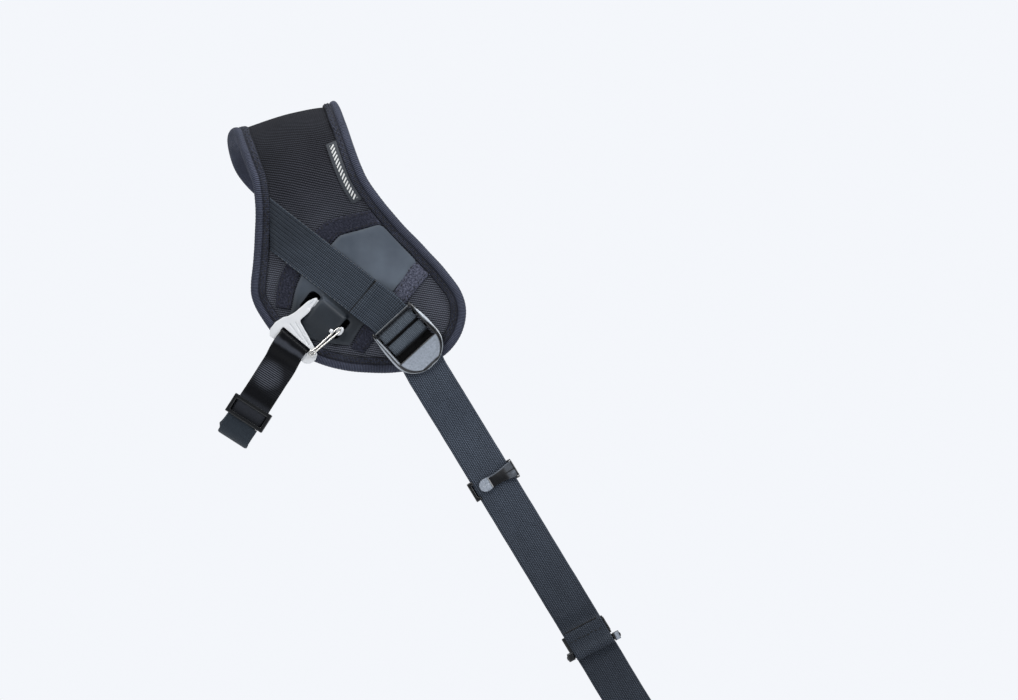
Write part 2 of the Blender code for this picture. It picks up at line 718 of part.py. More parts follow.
def build_stopper(prefix, frame, middle, web_low, web_high):
    """Clamp around the webbing: channel frame, hinge pin and lever.

    web_low and web_high are the faces of the webbing stack that runs through.
    """
    length = 12.2
    start, end = middle - length / 2, middle + length / 2
    base_low, base_high = web_low - 1.8, web_low - 0.4
    top = web_high + 1.7
    hinge_top = web_high + 2.7
    pin_across = 14.0
    pin_height = web_high + 1.4
    pin_middle = frame.at(middle, pin_across, pin_height)

    def pin_rod(overhang, radius):
        return rod(frame, (start - overhang, pin_across, pin_height),
                   (end + overhang, pin_across, pin_height), radius, 10)

    body = piece(prefix + "_frame",
                 box(frame, (start, end), (-15.0, 15.0), (base_low, base_high)), "buckle")
    for letter, sign, wall_top in (("l", -1, top), ("r", 1, hinge_top)):
        fuse(body, f"{prefix}_wall_{letter}",
             box(frame, (start + 0.03, end - 0.03), side_range(sign, 13.0, 14.96),
                 (base_low + 0.03, wall_top)))
    # Lips over the webbing on the side away from the hinge.
    for i, along in enumerate(((start + 0.06, start + 2.2), (end - 2.2, end - 0.06))):
        fuse(body, f"{prefix}_lip_{i}",
             box(frame, along, (-13.8, -11.4), (web_high + 0.4, top - 0.03)))
    # Room for the lever's barrel between the two lugs.
    cut(body, prefix + "_barrel_cutter",
        box(frame, (middle - 5.2, middle + 5.2), (11.5, 16.2),
            (web_high - 1.0, web_high + 6.0)))
    cut(body, prefix + "_hole_cutter", pin_rod(overhang=1.0, radius=0.85))
    piece(prefix + "_pin", pin_rod(overhang=-0.2, radius=0.6), "steel", pin_middle)

    sections = []
    for offset, half, low, high in LEVER_STATIONS:
        corners = [(-half, low), (half, low), (half, high - 0.25),
                   (half - 0.5, high), (-half + 0.5, high), (-half, high - 0.25)]
        sections.append([frame.at(middle + along, pin_across + offset, pin_height + height)
                         for along, height in corners])
    lever = piece(prefix + "_lever", loft(sections), "buckle", pin_middle)
    cut(lever, prefix + "_lever_cutter", pin_rod(overhang=1.0, radius=0.8))


def build_stoppers():
    """One clamp on the two back layers, one on the single front layer."""
    build_stopper("rear_stopper", BACK, REAR_STOPPER_AT, BACK_HEIGHT - WEB_T / 2,
                  RETURN_HEIGHT + WEB_T / 2)
    front_run = Frame(BACK.at_y(0, FRONT_SHIFT, FRONT_Y), BACK.along, BACK.across, FORE)
    build_stopper("front_stopper", front_run, FRONT_STOPPER_AT, -WEB_T / 2, WEB_T / 2)


# ----------------------------------------------------------------- carabiner
# (along, across)
CARABINER_OUTLINE = [
    (-7.2, -13.2), (-3.6, -15.8), (1.4, -15.9), (6.5, -14.3), (9.1, -12.3),
    (13.3, -10.8), (19.1, -9.8), (23.0, -9.2), (26.5, -7.6), (28.0, -3.5),
    (28.4, 2.0), (27.6, 7.5), (25.8, 11.5), (23.5, 14.2), (21.5, 13.4),
    (20.5, 11.6), (21.6, 9.6), (23.6, 6.6), (24.6, 2.0), (24.4, -2.0),
    (22.5, -4.6), (18.4, -4.4), (11.9, -5.4), (10.7, -4.4), (8.0, 2.9),
    (5.1, 10.4), (2.6, 15.4), (-0.5, 16.7), (-4.3, 15.7), (-6.3, 13.3),
    (-6.5, 9.0), (-6.6, -9.0),
]
RIVET = (1.2, 12.6)            # (along, across)


def build_carabiner():
    """Flat body: webbing bar, long tapered arm, bow and nose."""
    body = piece("carabiner", prism(CLIP, CARABINER_OUTLINE, CLIP_HEIGHTS), "white",
                 CLIP.at(24.5, 0, 11.8))     # origin in the bow
    cut(body, "carabiner_slot_cutter", box(CLIP, (-0.8, 2.2), (-10.6, 10.3), (9.0, 17.0)))
    # Thinned where the bow runs below the rubber bridge.
    cut(body, "carabiner_bow_cutter_top",
        box(CLIP, (20.0, 31.0), (-7.2, 17.0), (12.6, 17.0)))
    cut(body, "carabiner_rivet_cutter", rod(CLIP, (*RIVET, 9.0), (*RIVET, 17.0), 1.25, 10))


def build_carabiner_rivet():
    rivet = piece("carabiner_rivet", rod(CLIP, (*RIVET, 10.4), (*RIVET, 15.9), 0.85, 10),
                  "steel", CLIP.at(*RIVET, 12.7))
    fuse(rivet, "rivet_head", rod(CLIP, (*RIVET, 15.6), (*RIVET, 16.3), 1.9, 12))


def build_carabiner_gate():
    """Bent wire with an eye round the rivet, two legs and a nose end."""
    eye_r = 1.7
    reach = 21.0
    hinge = CLIP.at(*RIVET, CLIP_HEIGHTS[1] + 0.85)
    along = unit(CLIP.at(20.6, 15.6, 0) - CLIP.at(*RIVET, 0))
    side = np.cross(along, AFT)
    eye = arc(0.0, 0.0, eye_r, 35, 325, 8)
    path = eye + [
        (eye[-1][0] + 2.5, eye[-1][1] + 0.2), (reach - 1.2, -1.15), (reach + 0.6, -0.9),
        (reach + 1.0, 0.0), (reach + 0.6, 0.9), (reach - 1.2, 1.15),
        (eye[0][0] + 2.5, eye[0][1] - 0.2)]
    wire = [hinge + along * distance + side * offset for distance, offset in path]
    piece("carabiner_gate", tube(wire, 0.5, 6, closed=True), "steel", hinge)


# ------------------------------------------------------------ underarm strap
def build_underarm_loop():
    """Two layers between the carabiner's slot and the slider."""
    inner, outer = ARM_LAYERS
    air = GAP + WEB_T / 2 + 0.15
    front = CLIP_HEIGHTS[1] + air        # layers over and under the carabiner
    rear = CLIP_HEIGHTS[0] - air
    # (along the carabiner, height); negative runs down towards the slider
    path = [(-56.5, outer), (-44.0, outer), (-26.5, outer), (-16.0, 14.1),
            (-10.0, front), (-2.0, front), (-0.9, front - 0.15),
            (0.1, front - 0.75), (0.62, front - 1.7), (0.7, (front + rear) / 2),
            (0.62, rear + 1.7), (0.1, rear + 0.75), (-0.9, rear + 0.15), (-2.0, rear),
            (-10.0, rear), (-16.0, rear + 0.1), (-26.5, inner), (-44.0, inner),
            (-56.5, inner)]
    rows = []
    for i, (distance, height) in enumerate(path):
        before = path[max(i - 1, 0)]
        after = path[min(i + 1, len(path) - 1)]
        run, rise = after[0] - before[0], after[1] - before[1]
        # Carabiner frame near the bar, strap frame below.
        t = smoothstep((-distance - 4.0) / 10.0)
        along = unit(lerp(CLIP.along, -ARM.along, t))
        across = unit(lerp(CLIP.across, ARM.across, t))
        centre = lerp(CLIP.at(distance, -0.15, height), ARM.at(-distance, 0, height), t)
        rows.append((centre, across, AFT * run - along * rise, HALF_ARM))
    piece("underarm_loop", strip(rows), "arm")


def build_underarm_slider():
    middle = 50.6
    low = ARM_LAYERS[0] - WEB_T / 2
    high = ARM_LAYERS[1] + WEB_T / 2
    channel = (-10.6, 10.6)
    slider = piece("underarm_slider", box(ARM, (middle - 6.0, middle + 6.0), (-12.8, 12.8),
                                          (low - 1.9, high + 2.0)), "buckle")
    cut(slider, "slider_channel_cutter",
        box(ARM, (middle - 9.0, middle + 9.0), channel, (low - 0.4, high + 0.4)))
    cut(slider, "slider_window_cutter",
        box(ARM, (middle - 3.7, middle + 3.7), channel, (high - 1.0, high + 5.0)))


def build_underarm_webbing():
    """Lower part: turns forward under the arm and climbs to the front ring.

    Returns the ring's frame: along runs up the strap, its bar is at zero.
    """
    turn_at = 57.5
    rear_r, front_r = 12.0, 34.0
    climb_angle = 80.0
    ring_distance = 66.0
    bottom = turn_at + rear_r
    rows = [(ARM.at(57.0, 0, ARM_HEIGHT), ARM.across, AFT, HALF_ARM)]
    rows += bend_rows(ARM, turn_at, Y_BACK - ARM_HEIGHT + rear_r, rear_r, -90, 0,
                      [-0.4 * i / 6 for i in range(7)], HALF_ARM)
    for y, lateral in ((-15.0, -1.6), (15.0, -4.0), (40.0, -6.0)):
        rows.append((ARM.at_y(bottom, lateral, y), ARM.across, ARM.along, HALF_ARM))
    rows += bend_rows(ARM, bottom - front_r, 52.0, front_r, 0, climb_angle,
                      [-6.6] * 8, HALF_ARM)
    climb_start, _, normal, _ = rows[-1]
    angle = math.radians(climb_angle)
    climb = FORE * math.cos(angle) - ARM.along * math.sin(angle)
    for distance in (25.0, 50.0, ring_distance - 14.0):
        rows.append((climb_start + climb * distance, ARM.across, normal, HALF_ARM))
    ring = Frame(climb_start + climb * ring_distance, climb, ARM.across, normal)
    eye_r = RING_R + 1.3 + WEB_T / 2     # leaves the ring room to swing
    path = [(-11.0, 0.2), (-7.5, 0.5), (-4.4, 2.2), (-1.6, eye_r - 0.1)]
    path += arc(0.0, 0.0, eye_r, 85, -90, 10)
    path += [(-4.0, -eye_r + 0.45), (-8.0, -1.6), (-22.0, -1.5)]
    rows += ribbon_rows(ring, path, HALF_ARM)
    piece("underarm_webbing", strip(rows), "arm")
    return ring


def build_front_ring(ring):
    """Rectangular ring between the strap and the pad's front tab."""
    half = HALF_ARM + 2.2
    corner_r = 2.0
    corners = [vec(0.0, -half), vec(0.0, half), vec(RING_LENGTH, half),
               vec(RING_LENGTH, -half)]
    points = []
    for i, corner in enumerate(corners):
        to_before = unit(corners[i - 1] - corner)
        to_after = unit(corners[(i + 1) % 4] - corner)
        for t in (0.0, 0.5, 1.0):
            along, across = corner + corner_r * (to_before * (1 - t) ** 2
                                                 + to_after * t ** 2)
            points.append(ring.at(along, across, 0.0))
    piece("front_ring", tube(points, RING_R, 8, closed=True), "buckle",
          ring.at(RING_LENGTH, 0, 0))


def build_front_tab(ring):
    """Tab sewn under the pad's front half; its loop carries the ring."""
    loop_r = RING_R + 0.35 + WEB_T / 2
    normal = pad_normal(-130.0)
    down_slope = np.cross(normal, PAD_ACROSS)
    across = unit(0.76 * PAD_ACROSS + 0.65 * down_slope)
    rows = [(on_pad(g, q, -2.0), across, -normal, HALF_ARM)
            for g, q in ((13.5, -119.0), (7.0, -127.0), (0.5, -134.5))]
    path = [(RING_LENGTH + 7.0, -1.5), (RING_LENGTH + 4.5, -1.5),
            (RING_LENGTH + 2.9, -loop_r + 0.2)]
    path += arc(RING_LENGTH, 0.0, loop_r, 275, 90, 10)
    path += [(RING_LENGTH + 2.4, loop_r - 0.1), (RING_LENGTH + 5.0, 0.1),
             (RING_LENGTH + 8.0, 0.1)]
    rows += ribbon_rows(ring, path, HALF_ARM)
    piece("front_tab", strip(rows), "webbing")


# -------------------------------------------------------- sliding connector
# Rides on the hip part of the webbing; along points away from the wearer's hip.
HIP = Frame(BACK.at_y(HIP_TURN + HIP_R, -1.0, (HIP_AFT_Y + HIP_FORE_Y) / 2),
            BACK.along, BACK.across, FORE)
GATE_PIN = (16.3, 6.6)         # (along, across)
# Hook's centreline, (along, across)
HOOK_PATH = [
    (12.0, 0.0), (16.0, -3.0), (21.0, -8.0), (28.0, -9.6), (36.0, -9.6), (42.0, -7.8),
    (46.5, -3.2), (47.5, 1.5), (45.5, 6.4), (42.0, 8.6), (39.4, 8.9),
]


def axis_rod(start, end, radius, sides):
    """Round body on the connector's swivel axis."""
    return rod(HIP, (start, 0, 0), (end, 0, 0), radius, sides)


def gate_pin_rod(half_length, radius):
    return rod(HIP, (*GATE_PIN, -half_length), (*GATE_PIN, half_length), radius, 10)


def build_connector_carrier():
    """Slotted block round the webbing with a bored boss for the swivel."""
    body_half, channel_half = HALF_WEB + 3.2, HALF_WEB + 1.2
    carrier = piece("connector_carrier",
                    box(HIP, (-3.4, 4.2), (-body_half, body_half), (-5.0, 5.0)), "steel")
    cut(carrier, "carrier_channel_cutter",
        box(HIP, (-1.4, 1.5), (-channel_half, channel_half), (-8.0, 8.0)))
    fuse(carrier, "carrier_boss", axis_rod(3.8, 7.0, 5.0, 16))
    cut(carrier, "carrier_bore_cutter", axis_rod(2.2, 9.0, 2.3, 14))
    cut(carrier, "carrier_head_cutter", axis_rod(1.0, 4.4, 3.7, 14))


def build_connector_hook():
    """Hook fused to a swivel post whose head sits inside the carrier."""
    hook = piece("connector_hook",
                 tube([HIP.at(along, across, 0) for along, across in HOOK_PATH], 2.1, 10),
                 "steel", HIP.at(7.0, 0, 0))
    fuse(hook, "hook_post", axis_rod(1.9, 13.0, 1.9, 14))
    fuse(hook, "hook_post_head", axis_rod(1.85, 4.0, 3.2, 14))
    fuse(hook, "hook_collar", axis_rod(7.4, 13.2, 4.6, 16))
    fuse(hook, "hook_lug", box(HIP, (11.5, 18.6), (-1.0, 8.9), (-2.6, 2.6)))
    cut(hook, "hook_lug_cutter", box(HIP, (13.7, 22.0), (3.6, 12.0), (-1.5, 1.5)))
    cut(hook, "hook_pin_cutter", gate_pin_rod(5.0, 0.95))


def build_connector_gate():
    """Gate with its pin."""
    pin_middle = HIP.at(*GATE_PIN, 0)
    piece("connector_gate_pin", gate_pin_rod(2.5, 0.7), "steel", pin_middle)
    gate = piece("connector_gate", rod(HIP, (18.9, 7.1, 0), (36.6, 9.3, 0), 1.7, 10),
                 "steel", pin_middle)
    fuse(gate, "gate_tongue", box(HIP, (14.4, 20.5), (5.0, 8.6), (-1.15, 1.15)))
    cut(gate, "gate_pin_cutter", gate_pin_rod(5.0, 0.95))


def build_lock_sleeve():
    """Sleeve round the gate."""
    start, end = HIP.at(21.5, 7.42, 0), HIP.at(29.5, 8.42, 0)
    overrun = unit(end - start) * 3
    sleeve = piece("connector_lock_sleeve", tube([start, end], 3.1, 14), "buckle", start)
    cut(sleeve, "sleeve_bore_cutter", tube([start - overrun, end + overrun], 2.05, 12))


# --------------------------------------------------------------------- build
for old in list(bpy.data.objects):
    bpy.data.objects.remove(old, do_unlink=True)

pad_sheet("pad_lining", 2.4, LINING, "lining", rest_margin=22.0)
pad_sheet("pad_foam_core", 3.6, FOAM, "foam")
pad_sheet("pad_outer_panel", 2.4, PANEL, "pad_cloth")
build_edge_binding()
build_anchor_patch()
pad_band("patch_tape_upper", UPPER_TAPE, PATCH, "tape")
pad_band("patch_tape_lower", LOWER_TAPE, PATCH, "tape")
build_rear_anchor_webbing()
build_label_tag()
build_ladder_buckle()
build_ladder_webbing_wrap()
build_main_webbing()
build_front_reinforcement()
build_tail_webbing()
build_tail_triglide()
build_stoppers()
build_carabiner()
build_carabiner_rivet()
build_carabiner_gate()
build_underarm_loop()
build_underarm_slider()
front_ring_frame = build_underarm_webbing()
build_front_ring(front_ring_frame)
build_front_tab(front_ring_frame)
build_connector_carrier()
build_connector_hook()
build_connector_gate()
build_lock_sleeve()
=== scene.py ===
# A padded shoulder strap: the pad, its webbing with a ladder buckle and two cam stoppers, a
# carabiner with an underarm strap, and a steel connector with hook, gate and lock sleeve.
#
# +Z is up, -Y is the rear (the camera's side), +Y the front, +X the camera's right.
# Shapes are laid out in millimetres from the top of the shoulder. Built meshes are in metres
# about the middle of the rest face.
import math
import bpy
import bmesh
import numpy as np
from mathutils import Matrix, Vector
from mathutils.geometry import delaunay_2d_cdt

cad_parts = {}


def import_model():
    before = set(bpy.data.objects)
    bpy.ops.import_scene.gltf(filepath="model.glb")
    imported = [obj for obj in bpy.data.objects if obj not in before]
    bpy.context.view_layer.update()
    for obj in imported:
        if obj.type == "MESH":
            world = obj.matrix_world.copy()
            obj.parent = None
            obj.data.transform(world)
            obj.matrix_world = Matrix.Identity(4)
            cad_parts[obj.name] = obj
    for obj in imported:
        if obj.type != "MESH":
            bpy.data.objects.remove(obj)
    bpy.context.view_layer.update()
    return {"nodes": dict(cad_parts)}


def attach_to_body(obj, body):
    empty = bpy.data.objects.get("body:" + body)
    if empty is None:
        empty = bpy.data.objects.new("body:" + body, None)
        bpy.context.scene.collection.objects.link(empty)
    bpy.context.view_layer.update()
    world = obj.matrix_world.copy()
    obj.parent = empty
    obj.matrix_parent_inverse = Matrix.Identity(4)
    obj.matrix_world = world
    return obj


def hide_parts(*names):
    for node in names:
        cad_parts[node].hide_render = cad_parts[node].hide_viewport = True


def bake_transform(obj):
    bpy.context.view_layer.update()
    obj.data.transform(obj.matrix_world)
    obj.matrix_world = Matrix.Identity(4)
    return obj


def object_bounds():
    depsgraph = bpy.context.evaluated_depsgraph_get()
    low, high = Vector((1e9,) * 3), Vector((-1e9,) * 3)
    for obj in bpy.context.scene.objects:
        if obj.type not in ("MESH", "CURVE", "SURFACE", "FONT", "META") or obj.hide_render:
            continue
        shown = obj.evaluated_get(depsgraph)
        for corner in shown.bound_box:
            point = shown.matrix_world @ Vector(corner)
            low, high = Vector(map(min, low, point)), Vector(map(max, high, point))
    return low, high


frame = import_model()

MM = 0.001
PI = math.pi
REST = np.array((37.0, -46.434, -97.4))   # middle of the rest face, in the layout


# =====================================================================
# small maths
# =====================================================================
def vec(*parts):
    return np.array(parts, dtype=float)


def world(point):
    """Layout millimetres to metres about the rest face."""
    return tuple((np.asarray(point, float) - REST) * MM)


def unit(vector):
    vector = np.asarray(vector, float)
    return vector / np.linalg.norm(vector)


def lerp(first, second, t):
    return first + (second - first) * t


def ease(t):
    t = np.clip(t, 0.0, 1.0)
    return t * t * (3 - 2 * t)


def ramp(x, start, width):
    """Eased rise from 0 at start to 1 a width later; a negative width rises towards lower x."""
    return ease((x - start) / width)


def bell(x, centre, width):
    return np.exp(-((x - centre) / width) ** 2)


def decay(distance, reach):
    return np.exp(-distance / reach)


def waves(x, seed, lengths, heights):
    """Smooth, repeatable wander made from a few sine waves."""
    rng = np.random.default_rng(seed)
    total = 0.0
    for length, height in zip(lengths, heights):
        total = total + height * np.sin(2 * PI * (x / length + rng.random()))
    return total


def spaced(start, stop, step):
    """Places from start up to, but not at, stop."""
    while start < stop:
        yield start
        start += step


def hermite(t, span, start, start_dir, end, end_dir):
    return ((2 * t ** 3 - 3 * t ** 2 + 1) * start + (t ** 3 - 2 * t ** 2 + t) * span * start_dir
            + (-2 * t ** 3 + 3 * t ** 2) * end + (t ** 3 - t ** 2) * span * end_dir)


def spline_span(before, start, end, after, count):
    """Catmull-Rom points from start towards end."""
    out = []
    for k in range(count):
        t = k / count
        out.append(0.5 * ((2 * start) + (end - before) * t
                          + (2 * before - 5 * start + 4 * end - after) * t * t
                          + (3 * start - before - 3 * end + after) * t ** 3))
    return out


def spline_closed(points, count):
    size = len(points)
    out = []
    for i in range(size):
        out += spline_span(*(vec(*points[(i + j - 1) % size]) for j in range(4)), count)
    return np.array(out)


def spline_open(points, count):
    points = [vec(*p) for p in points]
    points = [2 * points[0] - points[1]] + points + [2 * points[-1] - points[-2]]
    out = []
    for i in range(1, len(points) - 2):
        out += spline_span(*points[i - 1:i + 3], count)
    return np.array(out + [points[-2]])


def arc_lengths(points):
    gaps = np.linalg.norm(np.diff(points, axis=0), axis=1)
    return np.concatenate([[0], np.cumsum(gaps)])


def interp_columns(at, known, values):
    return np.stack([np.interp(at, known, values[:, k]) for k in range(values.shape[1])], 1)


def even(curve, step):
    """Closed curve resampled to even steps: points, their arc lengths, whole length."""
    loop = np.vstack([curve, curve[:1]])
    lengths = arc_lengths(loop)
    count = int(round(lengths[-1] / step))
    places = np.arange(count) * lengths[-1] / count
    return interp_columns(places, lengths, loop), places, lengths[-1]


def inward(curve):
    """Unit normals of a closed flat curve, pointing inside."""
    tangent = np.roll(curve, -1, 0) - np.roll(curve, 1, 0)
    tangent /= np.linalg.norm(tangent, axis=1)[:, None]
    normal = np.stack([-tangent[:, 1], tangent[:, 0]], 1)
    area = 0.5 * np.sum(curve[:, 0] * np.roll(curve[:, 1], -1)
                        - np.roll(curve[:, 0], -1) * curve[:, 1])
    return -normal if area < 0 else normal


def span_at(curve, run):
    """Lowest and highest side position of a pad curve at one run."""
    start, end = curve, np.roll(curve, -1, 0)
    hit = (start[:, 1] - run) * (end[:, 1] - run) < 0
    start, end = start[hit], end[hit]
    sides = start[:, 0] + (end[:, 0] - start[:, 0]) * (run - start[:, 1]) / (end[:, 1] - start[:, 1])
    return float(sides.min()), float(sides.max())


def dist_to(curve, points):
    """Distance of each point to a closed polyline."""
    best = np.full(len(points), 1e9)
    for start, end in zip(curve, np.roll(curve, -1, 0)):
        edge = end - start
        t = np.clip(((points - start) @ edge) / max(edge @ edge, 1e-12), 0, 1)
        gap = np.linalg.norm(points - (start + t[:, None] * edge), axis=1)
        best = np.minimum(best, gap)
    return best


def inside(polygon, points):
    x, y = points[:, 0], points[:, 1]
    odd = np.zeros(len(points), bool)
    for (x0, y0), (x1, y1) in zip(polygon, np.roll(polygon, -1, 0)):
        if y0 != y1:
            odd ^= ((y0 > y) != (y1 > y)) & (x < (x1 - x0) * (y - y0) / (y1 - y0) + x0)
    return odd


def rounded(points, radius, count=5):
    """Closed polygon with rounded corners."""
    out = []
    for i in range(len(points)):
        corner = vec(*points[i])
        before = vec(*points[i - 1]) - corner
        after = vec(*points[(i + 1) % len(points)]) - corner
        before_len, after_len = np.linalg.norm(before), np.linalg.norm(after)
        cut = min(radius, before_len * 0.45, after_len * 0.45)
        start, end = corner + before / before_len * cut, corner + after / after_len * cut
        for j in range(count + 1):
            t = j / count
            out.append((1 - t) ** 2 * start + 2 * t * (1 - t) * corner + t * t * end)
    return np.array(out)


# =====================================================================
# the strap's layout (millimetres)
# =====================================================================
WEB_W, WEB_T, ARM_W, GAP = 25.0, 1.2, 20.0, 0.3   # webbing; GAP parts two layers
HALF_WEB = WEB_W / 2
BAR_OUT, BAR_R = 14.0, 1.6                        # buckle bars: height out and radius
LOOP_R = BAR_R + 0.4 + WEB_T / 2.0
UPPER_BAR, LOWER_BAR = 6.5, 16.5                  # places along the buckle
HIP_TURN, HIP_R, FRONT_Y = 335.0, 70.0, 143.0     # where the webbing turns to the front
HIP_SIDE = -4.0                                   # sideways shift of the front run
TAIL_END = 184.0
ARM_FOLD = 57.6                                   # length of the underarm loop up to its fold
LABEL_L, LABEL_W = 35.0, 7.0
REAR, FORWARD = vec(0, -1, 0), vec(0, 1, 0)

# The pad leans in the x-z plane. Over the shoulder it bends on a tight crown, then at the
# rear on a wide one before hanging straight; the front goes straight on at a slope.
LEAN = math.radians(15.3)
CROWN_R, REAR_TURN, FRONT_TURN = 46.0, math.radians(84.0), math.radians(50.0)
WIDE_R, WIDE_TURN = 180.0, math.radians(6.0)
PAD_SIDE = vec(math.cos(LEAN), 0, math.sin(LEAN))
PAD_UP = vec(-math.sin(LEAN), 0, math.cos(LEAN))


def profile(run):
    """Depth y, height and slope of the pad at a run from the crown, positive to the rear."""
    sign = -1.0 if run >= 0 else 1.0
    turn = REAR_TURN if run >= 0 else FRONT_TURN
    past = abs(run) - CROWN_R * turn
    if past < 0:
        slope = abs(run) / CROWN_R
        return sign * CROWN_R * math.sin(slope), -CROWN_R * (1 - math.cos(slope)), slope
    y = sign * CROWN_R * math.sin(turn)
    height = -CROWN_R * (1 - math.cos(turn))
    if run < 0:
        return y + past * math.cos(turn), height - past * math.sin(turn), turn
    if past < WIDE_R * WIDE_TURN:
        slope = turn + past / WIDE_R
        return (y - WIDE_R * (math.sin(slope) - math.sin(turn)),
                height - WIDE_R * (math.cos(turn) - math.cos(slope)), slope)
    return (y - WIDE_R * (1 - math.sin(turn)),
            height - WIDE_R * math.cos(turn) - (past - WIDE_R * WIDE_TURN), PI / 2)


def on_pad(side, run, out):
    """Layout point at a side position and run, a height out from the pad's base."""
    y, height, slope = profile(run)
    sign = -1.0 if run >= 0 else 1.0
    point = PAD_SIDE * side + PAD_UP * (height + math.cos(slope) * out)
    point[1] = y + sign * math.sin(slope) * out
    return point


def lay(points, outs):
    """Pad points for (side, run) pairs; outs is one height or one per pair."""
    heights = np.broadcast_to(outs, len(points))
    return [on_pad(side, run, out) for (side, run), out in zip(points, heights)]


def pad_normal(run):
    slope = profile(run)[2]
    normal = PAD_UP * math.cos(slope)
    normal[1] = (-1.0 if run >= 0 else 1.0) * math.sin(slope)
    return normal


def pattern_of(points):
    """Layout points on the flat rear half to (side, run)."""
    x, z = points[:, 0], points[:, 2]
    height = x * PAD_UP[0] + z * PAD_UP[2]
    return x * PAD_SIDE[0] + z * PAD_SIDE[2], profile(120.0)[1] + 120.0 - height


Y_BACK = profile(120.0)[0]

# The pad's edge as (side, run), clockwise.
OUTLINE = [
    (-36, 0), (-32, 14), (-30.5, 33), (-28.7, 48), (-28, 58), (-31.5, 74),
    (-39, 97), (-44.5, 111), (-46, 121), (-43.5, 133), (-36.5, 150),
    (-26, 161), (-10, 172.5), (12, 181.5), (33, 185.5), (52, 183.5),
    (66, 175), (74, 162), (74.5, 149), (69, 133.5), (61.5, 119), (50, 97.5),
    (40.5, 76), (37, 62), (35.5, 48), (34.5, 32), (33, 14), (32, 0),
    (30.5, -20), (29.5, -40), (30.5, -62), (33.5, -84), (38, -106),
    (43, -126), (45.5, -141), (42.5, -151), (34, -157), (25, -158.5),
    (15, -156.5), (7, -150), (2, -140), (-3, -125), (-10, -104),
    (-20, -82), (-31, -62), (-38.5, -44), (-40.5, -30), (-39, -14),
]


class Axes:
    """A local frame: along and across a part, and out from it."""

    def __init__(self, origin, along, across, out=REAR):
        self.origin = vec(*origin)
        self.along, self.across, self.out = unit(along), unit(across), unit(out)

    def at(self, along, across, out):
        return self.origin + self.along * along + self.across * across + self.out * out

    def local(self, points):
        offset = np.asarray(points, float) - self.origin
        return offset @ self.along, offset @ self.across, offset @ self.out


def rear_axes(x, z, along_x, along_z, turn=1):
    """Axes on the pad's rear face; turn picks which way across points."""
    return Axes((x, Y_BACK, z), (along_x, 0, along_z), (-along_z * turn, 0, along_x * turn))


BUCKLE = rear_axes(62.3, -114.3, 0.676, -0.737)
BACK = rear_axes(87.2, -150.8, 0.5186, -0.855)         # the webbing hanging from the buckle
CLIP = rear_axes(5.7, -127.7, 0.642, 0.766, turn=-1)   # the carabiner
ARM = rear_axes(5.7, -127.7, -0.5388, -0.8424)         # the underarm strap


def arc(along, out, radius, start, end, count):
    """Points (along, out) on an arc between two angles in degrees."""
    angles = [math.radians(start + (end - start) * i / count) for i in range(count + 1)]
    return [(along + radius * math.cos(a), out + radius * math.sin(a)) for a in angles]


def strides(path):
    """Each (along, out) station, with the stretch between its neighbours."""
    for i, (along, out) in enumerate(path):
        before, after = path[max(i - 1, 0)], path[min(i + 1, len(path) - 1)]
        yield along, out, after[0] - before[0], after[1] - before[1]


def ribbon_rows(axes, path):
    """Band rows (centre, across, normal) along a side-view path."""
    return [(axes.at(along, 0, out), axes.across, axes.along * (-rise) + axes.out * stretch)
            for along, out, stretch, rise in strides(path)]


# =====================================================================
# node materials written as arithmetic
# =====================================================================
def math_method(operation):
    return lambda self, other=None: self.shader.math(operation, self, other)


class Value:
    """A shader socket; arithmetic on it adds nodes."""

    def __init__(self, shader, socket):
        self.shader, self.socket = shader, socket

    __add__ = __radd__ = math_method('ADD')
    __sub__ = math_method('SUBTRACT')
    __mul__ = __rmul__ = math_method('MULTIPLY')
    __truediv__ = math_method('DIVIDE')
    sin = math_method('SINE')
    fract = math_method('FRACT')
    floor = math_method('FLOOR')
    abs = math_method('ABSOLUTE')
    pow = math_method('POWER')
    mod = math_method('FLOORED_MODULO')
    lt = math_method('LESS_THAN')
    max = math_method('MAXIMUM')

    def __rsub__(self, other):
        return self.shader.math('SUBTRACT', other, self)

    def clamp(self):
        return self.shader.math('MULTIPLY', self, 1.0, clamp=True)

    def step(self, low, high):
        """Smooth 0 to 1 between low and high, in either order."""
        node = self.shader.node('ShaderNodeMapRange')
        node.interpolation_type = 'SMOOTHSTEP'
        self.shader.put(node.inputs['Value'], self)
        node.inputs['From Min'].default_value = low
        node.inputs['From Max'].default_value = high
        return Value(self.shader, node.outputs['Result'])

    def hump(self):
        """One rounded top per whole number."""
        return (self.fract() * PI).sin()

    def brick(self, row):
        """Shift every second row by half a cell."""
        return self + row.floor().mod(2.0) * 0.5

    def around(self, centre, spread):
        """Turn a noise value into a variation around a centre."""
        return centre + (self - 0.5) * spread


